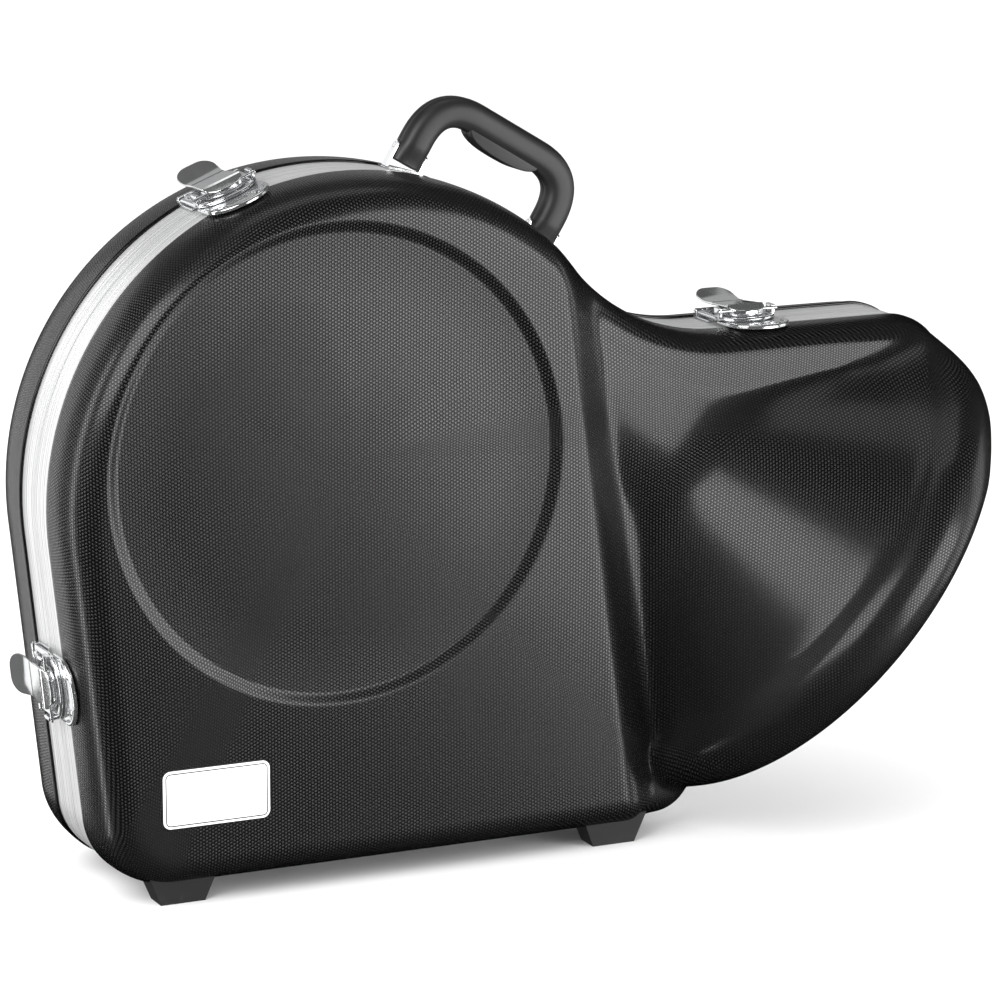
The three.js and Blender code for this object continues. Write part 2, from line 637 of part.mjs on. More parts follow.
function latchBase() {
  const depth = LINK_BACK + LATCH_KNUCKLE_RADIUS;
  const plateTop = GAP + LATCH_PLATE;
  const plate = box(LATCH_WIDTH, depth - GAP, LATCH_PLATE, 0, (depth + GAP) / 2, GAP + LATCH_PLATE / 2);
  const ear = (LATCH_WIDTH - linkInner) / 2;
  const knuckles = [-1, 1].map((side) => {
    const x = (side * (linkInner + ear)) / 2;
    const tall = LINK_PIVOT_HEIGHT - GAP;
    const web = box(ear, 2 * LATCH_KNUCKLE_RADIUS, tall, x, LINK_BACK, GAP + tall / 2);
    return join(web, bar(LATCH_KNUCKLE_RADIUS, ear, 'x', x, LINK_BACK, LINK_PIVOT_HEIGHT, 12));
  });
  const pin = bar(LATCH_PIN_RADIUS, LATCH_WIDTH, 'x', 0, LINK_BACK, LINK_PIVOT_HEIGHT, 8);
  const rivets = [-1, 1].map((side) => (
    dome(RIVET_RADIUS, RIVET_RISE, (side * linkInner * rivetShares[0]) / 2, depth * rivetShares[1], plateTop)
  ));
  return join(plate, ...knuckles, pin, ...rivets);
}

function latchLink() {
  const bottom = LINK_PIVOT_HEIGHT - LINK_HEIGHT / 2;
  const rear = LINK_BACK - LATCH_KNUCKLE_RADIUS - GAP * 2;
  const window = roundEnded(linkInner, rear - LINK_BAR, LINK_FRONT - LINK_BAR, LINK_ROUND - LINK_BAR);
  const frame = cut(
    slab(roundEnded(LATCH_WIDTH, rear, LINK_FRONT, LINK_ROUND), LINK_HEIGHT, bottom),
    slab(window, LINK_HEIGHT + 2 * OVERRUN, bottom - OVERRUN),
  );
  const knuckleWidth = linkInner - 2 * GAP;
  const tail = box(knuckleWidth, LINK_BAR, LINK_HEIGHT, 0, LINK_BACK - LINK_BAR / 2, LINK_PIVOT_HEIGHT);
  const knuckle = bar(LATCH_KNUCKLE_RADIUS, knuckleWidth, 'x', 0, LINK_BACK, LINK_PIVOT_HEIGHT, 12);
  const cheekTop = LEVER_PIVOT_HEIGHT + LATCH_KNUCKLE_RADIUS;
  const cheekX = (LATCH_WIDTH - LINK_BAR - GAP) / 2;
  const tall = cheekTop - bottom;
  const cheek = (side) => (
    box(LINK_BAR - GAP, 2 * LINK_BAR, tall, side * cheekX, LINK_BAR - LEVER_PIVOT, bottom + tall / 2)
  );
  const boreRadius = LATCH_PIN_RADIUS + GAP;
  const bore = bar(boreRadius, LATCH_WIDTH + OVERRUN, 'x', 0, LINK_BACK, LINK_PIVOT_HEIGHT, 8);
  const pivot = bar(boreRadius, LATCH_WIDTH + OVERRUN, 'x', 0, -LEVER_PIVOT, LEVER_PIVOT_HEIGHT, 8);
  return cut(join(frame, tail, knuckle, cheek(-1), cheek(1)), bore, pivot);
}

function latchLever() {
  const low = LEVER_PIVOT_HEIGHT - LEVER_PLATE / 2;
  const crown = low + LEVER_PLATE / 2;
  const lip = low + LEVER_LIP_RISE;
  const side = polygon([
    [-LEVER_FRONT, low], [-LEVER_CREASE_FRONT, crown],
    [LEVER_CREASE_BACK, crown], [LEVER_BACK, lip],
    [LEVER_BACK, lip + LEVER_PLATE], [LEVER_CREASE_BACK, crown + LEVER_PLATE],
    [-LEVER_CREASE_FRONT, crown + LEVER_PLATE], [-LEVER_FRONT, low + LEVER_PLATE],
  ]);
  const plan = roundEnded(LEVER_WIDTH, LEVER_BACK + OVERRUN, LEVER_FRONT, LINK_ROUND - LINK_BAR);
  const plate = section(side, LEVER_WIDTH).intersect(slab(plan, LEVER_BACK, 0));
  const trunnion = bar(LATCH_PIN_RADIUS, LATCH_WIDTH - GAP, 'x', 0, -LEVER_PIVOT, LEVER_PIVOT_HEIGHT, 8);
  return join(plate, trunnion);
}

function latchKeeper() {
  const shape = roundEnded(LATCH_WIDTH, -KEEPER_BACK, KEEPER_FRONT, KEEPER_ROUND);
  const insideWidth = LATCH_WIDTH - 2 * KEEPER_RIM;
  const insideFront = KEEPER_FRONT - KEEPER_RIM;
  const inside = roundEnded(insideWidth, OVERRUN - KEEPER_BACK, insideFront, KEEPER_ROUND - KEEPER_RIM);
  const rimBack = -LINK_FRONT - GAP * 2;
  const rim = cut(
    slab(shape, LATCH_PLATE + KEEPER_RIM_HEIGHT, keeperBase),
    slab(inside, LATCH_PLATE + OVERRUN, keeperBase - GAP),
    box(LATCH_WIDTH + OVERRUN, KEEPER_FRONT, KEEPER_FRONT, 0, rimBack + KEEPER_FRONT / 2, keeperBase),
  );
  const full = slab(shape, LATCH_PLATE, keeperBase);
  const rivetX = (LATCH_WIDTH * rivetShares[2]) / 2;
  const rivetY = -(KEEPER_FRONT + LINK_FRONT) / 2;
  const rivets = [-1, 1].map((side) => (
    dome(RIVET_RADIUS, RIVET_RISE, side * rivetX, rivetY, keeperBase + LATCH_PLATE)
  ));
  return join(full, rim, ...rivets);
}

const sideDown = new THREE.Vector2(sideIn.y, -sideIn.x);
const latchSeats = [
  [polar(LATCH_TOP_ANGLE, ARC_RADIUS).add(arcCentre), polar(LATCH_TOP_ANGLE + 180, 1)],
  [new THREE.Vector2(arcCentre.x + LATCH_FLAT_REACH, topHeight), new THREE.Vector2(0, -1)],
  [sideTop.clone().addScaledVector(sideDown, (sideTop.y - LATCH_SIDE_HEIGHT) / sideIn.x), sideIn],
];
latchSeats.forEach(([at, inward], i) => {
  const seat = seatOn(at, inward);
  addPiece(`latch_${i + 1}_base`, latchBase(), finishes.chrome, seat);
  addPiece(`latch_${i + 1}_link`, latchLink(), finishes.chrome, seat);
  addPiece(`latch_${i + 1}_lever`, latchLever(), finishes.chrome, seat);
  addPiece(`latch_${i + 1}_keeper`, latchKeeper(), finishes.chrome, seat);
});

// Handle: a squared arch split into two halves along its seam, with a pin through each leg
const legReach = HANDLE_SPAN / 2;
const handleFoot = Math.sqrt((ARC_RADIUS + HANDLE_STANDOFF) ** 2 - legReach ** 2);
const handleY = BAND_HALF / 2;
const handleSeat = new THREE.Group();
const handleAt = polar(HANDLE_ANGLE, handleFoot).add(arcCentre);
handleSeat.position.set(handleAt.x, handleY, handleAt.y);
handleSeat.rotation.y = radians(90 - HANDLE_ANGLE);
horncase.add(handleSeat);

function handleHalf(side) {
  const top = HANDLE_HEIGHT - HANDLE_GRIP_RADIUS;
  const path = new THREE.CurvePath();
  const v = (x, z) => new THREE.Vector3(x, 0, z);
  const corners = [
    v(-legReach, 0), v(-legReach, top - HANDLE_BEND), v(-legReach, top), v(HANDLE_BEND - legReach, top),
    v(legReach - HANDLE_BEND, top), v(legReach, top), v(legReach, top - HANDLE_BEND), v(legReach, 0),
  ];
  path.add(new THREE.LineCurve3(corners[0], corners[1]));
  path.add(new THREE.QuadraticBezierCurve3(corners[1], corners[2], corners[3]));
  path.add(new THREE.LineCurve3(corners[3], corners[4]));
  path.add(new THREE.QuadraticBezierCurve3(corners[4], corners[5], corners[6]));
  path.add(new THREE.LineCurve3(corners[6], corners[7]));
  const grip = new THREE.Shape();
  grip.absarc(0, 0, HANDLE_GRIP_RADIUS, 0, 2 * Math.PI);
  const tube = solid(new THREE.ExtrudeGeometry(grip, { extrudePath: path, steps: 22, curveSegments: 6 }));
  const swellHeight = GRIP_SWELL + HANDLE_GRIP_RADIUS / 2;
  const pad = new THREE.SphereGeometry(1, 12, 8);
  pad.scale(GRIP_SWELL_LENGTH / 2, GRIP_SWELL_WIDTH / 2, swellHeight);
  const swell = solid(pad.translate(0, 0, top - HANDLE_GRIP_RADIUS / 2));
  const half = box(2 * HANDLE_SPAN, HANDLE_SPAN, 2 * HANDLE_SPAN, 0, (side * (HANDLE_SPAN + SEAM)) / 2, 0);
  const bores = [-1, 1].map((way) => (
    bar(HANDLE_PIN_RADIUS + GAP, 4 * HANDLE_GRIP_RADIUS, 'x', way * legReach, 0, HANDLE_PIN_RISE, 12)
  ));
  const end = HANDLE_PIN_RISE - GAP;
  const wide = HANDLE_PIN_RISE + LEG_TAPER_LENGTH;
  const above = HANDLE_HEIGHT + OVERRUN;
  const profile = new THREE.Shape([new THREE.Vector2(-end, HANDLE_PIN_RISE)]);
  profile.absarc(0, HANDLE_PIN_RISE, end, Math.PI, 2 * Math.PI);
  profile.lineTo(HANDLE_GRIP_RADIUS, wide);
  profile.lineTo(HANDLE_GRIP_RADIUS, above);
  profile.lineTo(-HANDLE_GRIP_RADIUS, above);
  profile.lineTo(-HANDLE_GRIP_RADIUS, wide);
  const envelope = section(profile, 2 * HANDLE_SPAN);
  return cut(join(tube, swell).intersect(half).intersect(envelope), ...bores);
}

// A bracket is bent to the band: a curved foot and two ears that hold the leg's pin between them
function bracket(side) {
  const x = side * legReach;
  const under = ARC_RADIUS - BAND_INSET + GAP;
  const half = Math.asin(BRACKET_WIDTH / 2 / under);
  const middle = Math.PI / 2 - Math.asin(x / under);
  const sector = new THREE.Shape();
  sector.absarc(0, 0, under + BRACKET_PLATE, middle - half, middle + half);
  sector.absarc(0, 0, under, middle + half, middle - half, true);
  const foot = slab(sector, BRACKET_DEPTH).rotate([90, 0, 0]).translate(0, BRACKET_DEPTH / 2, -handleFoot);
  const ears = [-1, 1].map((way) => {
    const at = x + way * (HANDLE_GRIP_RADIUS + EAR_GAP + BRACKET_PLATE / 2);
    const low = Math.sqrt(under ** 2 - (Math.abs(at) + BRACKET_PLATE) ** 2) - handleFoot + BRACKET_PLATE / 2;
    const tall = HANDLE_PIN_RISE - low;
    return join(
      box(BRACKET_PLATE, EAR_WIDTH, tall, at, 0, low + tall / 2),
      bar(EAR_WIDTH / 2, BRACKET_PLATE, 'x', at, 0, HANDLE_PIN_RISE, 12),
    );
  });
  const hole = bar(HANDLE_PIN_RADIUS + GAP, HANDLE_SPAN / 2, 'x', x, 0, HANDLE_PIN_RISE, 12);
  return cut(join(foot, ...ears), hole);
}

addPiece('handle_grip_front', handleHalf(-1), finishes.grip, handleSeat);
addPiece('handle_grip_back', handleHalf(1), finishes.grip, handleSeat);
[-1, 1].forEach((side, i) => {
  const pinLength = 2 * (HANDLE_GRIP_RADIUS + EAR_GAP + BRACKET_PLATE);
  const pin = bar(HANDLE_PIN_RADIUS, pinLength, 'x', side * legReach, 0, HANDLE_PIN_RISE, 12);
  addPiece(`handle_bracket_${i + 1}`, bracket(side), finishes.steel, handleSeat);
  addPiece(`handle_pin_${i + 1}`, pin, finishes.steel, handleSeat);
});

// The origin lies on the ground under the middle of the whole case
const extent = new THREE.Box3().setFromObject(horncase, true);
horncase.children.forEach((child) => {
  child.position.x -= (extent.min.x + extent.max.x) / 2;
  child.position.z -= extent.min.z;
});

export default horncase;
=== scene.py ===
"""A moulded french horn case on its feet: the looks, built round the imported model."""

import logging
import math
from abc import ABC, abstractmethod
from dataclasses import dataclass, field
from enum import Enum
from typing import Callable, Iterable, Optional, Sequence, Union

import bmesh
import bpy
from mathutils import Matrix, Vector, kdtree, noise


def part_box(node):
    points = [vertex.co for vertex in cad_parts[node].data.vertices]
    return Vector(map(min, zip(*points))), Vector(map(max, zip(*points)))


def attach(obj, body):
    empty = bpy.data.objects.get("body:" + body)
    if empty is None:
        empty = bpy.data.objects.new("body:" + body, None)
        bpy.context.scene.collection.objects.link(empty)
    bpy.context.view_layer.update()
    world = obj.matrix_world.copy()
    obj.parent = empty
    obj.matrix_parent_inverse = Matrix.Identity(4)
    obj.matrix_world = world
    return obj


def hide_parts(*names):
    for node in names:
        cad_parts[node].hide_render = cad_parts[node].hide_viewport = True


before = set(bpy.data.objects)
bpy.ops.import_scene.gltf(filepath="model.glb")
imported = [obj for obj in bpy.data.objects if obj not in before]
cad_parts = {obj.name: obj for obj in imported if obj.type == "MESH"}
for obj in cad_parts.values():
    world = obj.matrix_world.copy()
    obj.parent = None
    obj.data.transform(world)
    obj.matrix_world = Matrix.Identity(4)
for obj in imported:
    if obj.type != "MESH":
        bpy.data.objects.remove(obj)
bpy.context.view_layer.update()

log = logging.getLogger("horn_case")

MM = 0.001
FULL_TURN = 2 * math.pi
SIXTY = math.radians(60)
QUARTER_TURN = math.pi / 2
WELD = 1e-6                         # corners nearer than this are one
PLATE_REACH = 111 * MM              # from the name plate's middle to the big round's centre
LOOK_REACH = 107 * MM               # from there to what the camera looks at
LOOK_HEIGHT = 232.2 * MM

Point2 = tuple[float, float]
Input = Union["Signal", float, Sequence[float]]


# Shader values


class Signal:
    """A shader value that Python's operators act on. Each operation adds its Math node."""

    def __init__(self, bench: "Bench", socket: bpy.types.NodeSocket) -> None:
        """Keeps the node tree that the value lives in.

        Args:
            bench: the material's workbench.
            socket: the output socket that carries the value.
        """
        self.bench = bench
        self.socket = socket

    def math(self, operation: str, *values: Input) -> "Signal":
        """Adds one Math node.

        Args:
            operation: the node's operation.
            values: its inputs in order.

        Returns:
            The node's result.
        """
        return self.bench.node("ShaderNodeMath", {"operation": operation}, dict(enumerate(values)))

    def __add__(self, other: Input) -> "Signal":
        """The sum."""
        return self.math("ADD", self, other)

    def __radd__(self, other: Input) -> "Signal":
        """The sum, reflected."""
        return self.math("ADD", other, self)

    def __sub__(self, other: Input) -> "Signal":
        """The difference."""
        return self.math("SUBTRACT", self, other)

    def __rsub__(self, other: Input) -> "Signal":
        """The difference, reflected."""
        return self.math("SUBTRACT", other, self)

    def __mul__(self, other: Input) -> "Signal":
        """The product."""
        return self.math("MULTIPLY", self, other)

    def __rmul__(self, other: Input) -> "Signal":
        """The product, reflected."""
        return self.math("MULTIPLY", other, self)

    def __truediv__(self, other: Input) -> "Signal":
        """The quotient."""
        return self.math("DIVIDE", self, other)

    def __rtruediv__(self, other: Input) -> "Signal":
        """The quotient, reflected."""
        return self.math("DIVIDE", other, self)

    def __pow__(self, other: Input) -> "Signal":
        """The power."""
        return self.math("POWER", self, other)

    def __rpow__(self, other: Input) -> "Signal":
        """The power, reflected."""
        return self.math("POWER", other, self)

    def __neg__(self) -> "Signal":
        """The value with its sign changed."""
        return self.math("MULTIPLY", self, -1.0)

    def __abs__(self) -> "Signal":
        """The value without its sign."""
        return self.math("ABSOLUTE", self)

    def cosine(self) -> "Signal":
        """Its cosine."""
        return self.math("COSINE", self)

    def at_least(self, floor: Input) -> "Signal":
        """The greater of the two."""
        return self.math("MAXIMUM", self, floor)

    def ramp_up(self, start: float, end: float) -> "Signal":
        """A soft step from 0 at start to 1 at end."""
        settings = {"interpolation_type": "SMOOTHSTEP"}
        return self.bench.node("ShaderNodeMapRange", settings, {0: self, 1: start, 2: end})


class Bench:
    """A material under construction: adds nodes, and closes with the surface."""

    def __init__(self, name: str) -> None:
        """Starts an empty material.

        Args:
            name: the material's name.
        """
        self.material = bpy.data.materials.new(name)
        self.material.use_nodes = True
        self.tree = self.material.node_tree
        self.tree.nodes.clear()

    def node(self, kind: str, settings: Optional[dict] = None, inputs: Optional[dict] = None,
             output: Union[int, str] = 0) -> Signal:
        """Adds any node: its settings first, then the values or links of its sockets.

        Args:
            kind: the node's type.
            settings: its properties.
            inputs: values or signals by socket name or index.
            output: the output that is returned.

        Returns:
            The chosen output.
        """
        made = self.tree.nodes.new(kind)
        for key, value in (settings or {}).items():
            setattr(made, key, value)
        for key, value in (inputs or {}).items():
            if isinstance(value, Signal):
                self.tree.links.new(value.socket, made.inputs[key])
            else:
                made.inputs[key].default_value = value
        return Signal(self, made.outputs[output])

    def mix(self, factor: Input, first: Input, second: Input) -> Signal:
        """A colour between two."""
        return self.node("ShaderNodeMix", {"data_type": "RGBA"}, {0: factor, 6: first, 7: second}, output=2)

    def place(self) -> Signal:
        """The point on the piece, in metres."""
        return self.node("ShaderNodeTexCoord", output="Object")

    def flat_place(self) -> Signal:
        """The piece's own flat map, in metres."""
        return self.node("ShaderNodeTexCoord", output="UV")

    def axes(self, vector: Signal) -> tuple[Signal, Signal, Signal]:
        """The three parts of a vector.

        Args:
            vector: the vector.

        Returns:
            Its x, y and z.
        """
        first = self.node("ShaderNodeSeparateXYZ", inputs={0: vector})
        outputs = first.socket.node.outputs
        return first, Signal(self, outputs[1]), Signal(self, outputs[2])

    def grit(self, vector: Signal, per_metre: float, detail: float = 2.0) -> Signal:
        """Noise with a number of grains per metre."""
        inputs = {"Vector": vector, "Scale": per_metre, "Detail": detail}
        return self.node("ShaderNodeTexNoise", inputs=inputs)

    def bump(self, height: Signal, distance: float, strength: float = 1.0) -> Signal:
        """A normal from a height."""
        inputs = {"Height": height, "Distance": distance, "Strength": strength}
        return self.node("ShaderNodeBump", inputs=inputs)

    def close(self, inputs: dict) -> bpy.types.Material:
        """Adds the surface shader.

        Args:
            inputs: values and signals of the surface by socket name.

        Returns:
            The finished material.
        """
        surface = self.node("ShaderNodeBsdfPrincipled", inputs=inputs)
        output = self.tree.nodes.new("ShaderNodeOutputMaterial")
        self.tree.links.new(surface.socket, output.inputs["Surface"])
        return self.material


def grey(value: float, warmth: float = 0.0) -> tuple[float, float, float, float]:
    """A near-neutral colour; warmth above 0 is warmer, below 0 cooler."""
    return (value * (1 + warmth), value, value * (1 - warmth), 1.0)


class Finish(ABC):
    """A finish makes its material once and gives it to every piece that asks."""

    label: str
    slot: str

    @abstractmethod
    def surface(self, bench: Bench) -> dict:
        """The surface shader's values and signals."""

    def material(self) -> bpy.types.Material:
        """The finish's material, made at its first use."""
        made = bpy.data.materials.get(self.label)
        if made is None:
            bench = Bench(self.label)
            made = bench.close(self.surface(bench))
        return made

    def wear(self, piece: bpy.types.Object) -> bpy.types.Object:
        """Puts the finish on a piece.

        Args:
            piece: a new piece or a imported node.

        Returns:
            The same piece.
        """
        if not piece.material_slots:
            piece.data.materials.append(self.material())
        for slot in piece.material_slots:
            slot.material = self.material()
        return piece


@dataclass(frozen=True)
class PebbledShell(Finish):
    """Black moulded sheet with rows of fine raised dots, smooth beside the band; the dots' crowns carry a
    painted highlight and the valleys painted shade.
    """

    label: str = "shell_pebbled_black"
    slot: str = "shell"
    pitch: float = 2.3 * MM             # between neighbouring dots
    dot_height: float = 0.30 * MM
    smooth_lip: float = 2.6 * MM        # without dots, beside the band
    # valley and crown colours: painted shade between the dots and painted highlight on their crowns
    valley_painted_shade: float = 0.0012
    crown_painted_highlight: float = 0.024
    roughness: float = 0.2
    base_ior: float = 1.32
    gloss_ior: float = 1.62
    crown_power: float = 1.6            # above 1 makes the dots narrower
    lip_gloss: float = 0.4
    unevenness: float = 0.05            # of the roughness
    dust_height: float = 0.08           # as a share of a dot's

    def surface(self, bench: Bench) -> dict:
        """Three waves at sixty degrees make the dots; their crowns are painted lighter as a highlight and
        the valleys darker as shade.
        """
        u, v, _ = bench.axes(bench.flat_place())
        half, rise = math.cos(SIXTY), math.sin(SIXTY)
        turn = FULL_TURN / (self.pitch * rise)
        across = (u * turn).cosine()
        rising = ((u * half + v * rise) * turn).cosine()
        falling = ((v * rise - u * half) * turn).cosine()
        lowest, reach = 1.5, 4.5
        dots = (across + rising + falling + lowest) / reach
        rim = bench.node("ShaderNodeAttribute", {"attribute_name": "rim"}, output="Fac")
        dotted = rim.ramp_up(self.smooth_lip, self.smooth_lip * 1.6)
        place = bench.place()
        cloud = bench.grit(place, 14.0, 3.0)
        dust = bench.grit(place, 1300.0, 1.0)
        crown = (dots ** self.crown_power) * dotted
        # Painted highlight on the dots' crowns and painted shade in the valleys, mixed by the dots' height
        tone = bench.mix(crown, grey(self.valley_painted_shade), grey(self.crown_painted_highlight, 0.01))
        rough = self.roughness + (cloud - 0.5) * self.unevenness + (1 - crown) * 0.04
        height = crown + dust * self.dust_height
        gloss = crown + (1 - dotted) * self.lip_gloss
        return {
            "Base Color": tone, "Roughness": rough, "Normal": bench.bump(height, self.dot_height),
            "IOR": self.base_ior, "Coat Weight": gloss, "Coat Roughness": self.roughness,
            "Coat IOR": self.gloss_ior,
        }


@dataclass(frozen=True)
class SatinBand(Finish):
    """Satin aluminium with fine drawn lines along the extrusion."""

    label: str = "band_satin_aluminium"
    slot: str = "band"
    colour: float = 0.64
    groove_colour: float = 0.42
    metallic: float = 0.5
    roughness: float = 0.34
    stretch: Sequence[float] = (6.0, 2600.0, 6.0)   # grains per metre along and across the lines

    def surface(self, bench: Bench) -> dict:
        """Drawn lines lie across y, so noise stretched round the band does for them."""
        place = bench.place()
        stretched = bench.node("ShaderNodeMapping", inputs={"Vector": place, "Scale": self.stretch})
        drawn = bench.grit(stretched, 1.0, 3.0)
        cloud = bench.grit(place, 20.0, 2.0)
        groove = drawn.ramp_up(0.38, 0.56)
        tone = bench.mix(groove, grey(self.groove_colour, -0.01), grey(self.colour, 0.0))
        rough = self.roughness + (drawn - 0.5) * 0.16 + (cloud - 0.5) * 0.06
        return {
            "Base Color": tone, "Metallic": self.metallic, "Roughness": rough,
            "Normal": bench.bump(drawn, 0.03 * MM),
        }


@dataclass(frozen=True)
class Chrome(Finish):
    """Bright plated steel with faint handling haze."""

    label: str = "latch_chrome"
    slot: str = "chrome"
    colour: float = 0.76
    metallic: float = 0.92
    roughness: float = 0.12

    def surface(self, bench: Bench) -> dict:
        """Haze varies the gloss, and pressing leaves long soft waves."""
        place = bench.place()
        haze = bench.grit(place, 90.0, 4.0)
        waves = bench.grit(place, 160.0, 1.0)
        tone = bench.mix(haze, grey(self.colour * 0.93, -0.015), grey(self.colour, -0.01))
        rough = self.roughness + haze.ramp_up(0.45, 0.75) * 0.08
        return {
            "Base Color": tone, "Metallic": self.metallic, "Roughness": rough,
            "Normal": bench.bump(waves, 0.03 * MM),
        }


@dataclass(frozen=True)
class PlatedSteel(Finish):
    """Duller plated steel on hinges, screws and pins."""

    label: str = "fitting_plated_steel"
    slot: str = "steel"
    colour: float = 0.55
    roughness: float = 0.27

    def surface(self, bench: Bench) -> dict:
        """A fine crystalline haze and slight tarnish."""
        place = bench.place()
        haze = bench.grit(place, 240.0, 5.0)
        tarnish = bench.grit(place, 45.0, 3.0)
        tone = bench.mix(tarnish, grey(self.colour * 0.82, 0.01), grey(self.colour, -0.01))
        rough = self.roughness + (haze - 0.5) * 0.14
        return {
            "Base Color": tone, "Metallic": 1.0, "Roughness": rough,
            "Normal": bench.bump(haze, 0.04 * MM),
        }


@dataclass(frozen=True)
class FootRubber(Finish):
    """Hard black rubber with a matt moulded skin."""

    label: str = "foot_rubber"
    slot: str = "rubber"
    colour: float = 0.012
    roughness: float = 0.55

    def surface(self, bench: Bench) -> dict:
        """Fine sparkle of the mould and scuffs near the sole."""
        place = bench.place()
        _, _, height = bench.axes(place)
        grain = bench.grit(place, 1500.0, 2.0)
        scuff = bench.grit(place, 120.0, 4.0).ramp_up(0.5, 0.75) * (1 - height.ramp_up(0.0, 8 * MM))
        tone = bench.mix(scuff * 0.5, grey(self.colour), grey(self.colour * 4))
        rough = self.roughness + (grain - 0.5) * 0.2 + scuff * 0.12
        return {"Base Color": tone, "Roughness": rough, "Normal": bench.bump(grain, 0.05 * MM)}


@dataclass(frozen=True)
class GripSkin(Finish):
    """Soft black plastic of the handle, with a hair-fine leather grain."""

    label: str = "handle_soft_black"
    slot: str = "grip"
    colour: float = 0.009
    roughness: float = 0.42

    def surface(self, bench: Bench) -> dict:
        """Cells of grain under a slight bloom."""
        place = bench.place()
        cells = bench.node("ShaderNodeTexVoronoi", {"feature": "F1"}, {"Vector": place, "Scale": 1300.0})
        bloom = bench.grit(place, 30.0, 3.0)
        tone = bench.mix(bloom, grey(self.colour * 0.85), grey(self.colour * 1.25, 0.01))
        rough = self.roughness + (bloom - 0.5) * 0.08 + cells * 0.05
        return {
            "Base Color": tone, "Roughness": rough, "Normal": bench.bump(1 - cells, 0.045 * MM),
            "IOR": 1.5,
        }


@dataclass(frozen=True)
class BlackPlush(Finish):
    """Short black plush of the lining, brushed this way and that, with painted sheen on the brushed patches.
    """

    label: str = "lining_plush"
    slot: str = "plush"
    colour: float = 0.016
    pile_height: float = 0.35 * MM

    def surface(self, bench: Bench) -> dict:
        """Pile is fine noise; the slow lighter and darker bluish patches of the brushed pile are painted
        sheen.
        """
        place = bench.place()
        pile = bench.grit(place, 1700.0, 3.0)
        brushed = bench.grit(place, 26.0, 4.0)
        # Painted sheen: the brushed noise turns the plush lighter and bluer in some patches and darker in
        # others
        nap_painted_sheen = brushed.ramp_up(0.35, 0.65)
        tone = bench.mix(nap_painted_sheen, grey(self.colour * 0.7, -0.04), grey(self.colour * 1.8, -0.05))
        pile_tone_and_sheen = bench.mix(pile * 0.6, tone, grey(self.colour * 2.6, -0.03))
        height = pile + brushed * 0.6
        return {
            "Base Color": pile_tone_and_sheen, "Roughness": 0.9 + (pile - 0.5) * 0.1,
            "Normal": bench.bump(height, self.pile_height),
            "Sheen Weight": 0.35, "Sheen Roughness": 0.4, "Sheen Tint": (0.6, 0.62, 0.7, 1.0),
        }


@dataclass(frozen=True)
class BarePlate(Finish):
    """White lacquered plate with one thin dark line inside its edge."""

    label: str = "plate_white"
    slot: str = "plate"
    centre: Point2 = (0.0, 0.0)
    half: Point2 = (0.0, 0.0)
    corner: float = 5 * MM
    line_inset: float = 1.9 * MM
    line_width: float = 0.75 * MM
    line_depth: float = 0.06 * MM
    lacquer: float = 0.3
    roughness: float = 0.22

    def surface(self, bench: Bench) -> dict:
        """The line keeps a fixed distance from the plate's rounded outline."""
        place = bench.place()
        x, _, z = bench.axes(place)
        over_x = (abs(x - self.centre[0]) - (self.half[0] - self.corner)).at_least(0.0)
        over_z = (abs(z - self.centre[1]) - (self.half[1] - self.corner)).at_least(0.0)
        inside = self.corner - (over_x ** 2.0 + over_z ** 2.0) ** 0.5
        off = abs(inside - self.line_inset)
        line = 1 - off.ramp_up(self.line_width * 0.35, self.line_width * 0.65)
        cloud = bench.grit(place, 60.0, 3.0)
        white = bench.mix(cloud, grey(0.80, 0.004), grey(0.86, 0.002))
        tone = bench.mix(line, white, grey(0.012))
        rough = self.roughness + (cloud - 0.5) * 0.08 + line * 0.15
        return {
            "Base Color": tone, "Roughness": rough, "Normal": bench.bump(-line, self.line_depth),
            "Coat Weight": self.lacquer,
        }


@dataclass(frozen=True)
class DarkGap(Finish):
    """Deep black of a shadow gap round a let-in part."""

    label: str = "gap_black"
    slot: str = "shell"

    def surface(self, bench: Bench) -> dict:
        """Almost no light comes back."""
        dust = bench.grit(bench.place(), 900.0)
        tone = bench.mix(dust, grey(0.003), grey(0.006))
        return {"Base Color": tone, "Roughness": 0.7 + (dust - 0.5) * 0.2}


@dataclass(frozen=True)
class StudioPaper(Finish):
    """Seamless pale paper."""

    label: str = "studio_paper"
    slot: str = ""

    def surface(self, bench: Bench) -> dict:
        """Barely uneven white."""
        cloud = bench.grit(bench.place(), 3.0)
        return {"Base Color": bench.mix(cloud, grey(0.90), grey(0.93)), "Roughness": 0.9}


# Mesh tools


def lay_grid(columns: int, rows: int, place: Callable[[int, int], Vector],
             flat: Optional[Callable[[int, int], Point2]] = None,
             rim: Optional[Callable[[int, int], float]] = None) -> bmesh.types.BMesh:
    """Bends a plain grid to a form, and welds what then lies together: seams and poles.

    Args:
        columns: faces across the grid.
        rows: faces along it.
        place: the point of a column and row.
        flat: its place in the piece's flat map, in metres.
        rim: its distance from the lip.

    Returns:
        The bent grid, its faces turned outwards.
    """
    bm = bmesh.new()
    rims = bm.verts.layers.float.new("rim") if rim else None
    maps = bm.loops.layers.uv.new("flat") if flat else None
    bmesh.ops.create_grid(bm, x_segments=columns, y_segments=rows, size=1.0)
    bm.verts.index_update()
    cells = []
    for vertex in bm.verts:
        column = round((vertex.co.x + 1) * columns / 2)
        row = round((vertex.co.y + 1) * rows / 2)
        cells.append((column, row))
        vertex.co = place(column, row)
        if rim:
            vertex[rims] = rim(column, row)
    if flat:
        for face in bm.faces:
            for loop in face.loops:
                loop[maps].uv = flat(*cells[loop.vert.index])
    bmesh.ops.remove_doubles(bm, verts=bm.verts, dist=WELD)
    bmesh.ops.recalc_face_normals(bm, faces=bm.faces)
    return bm


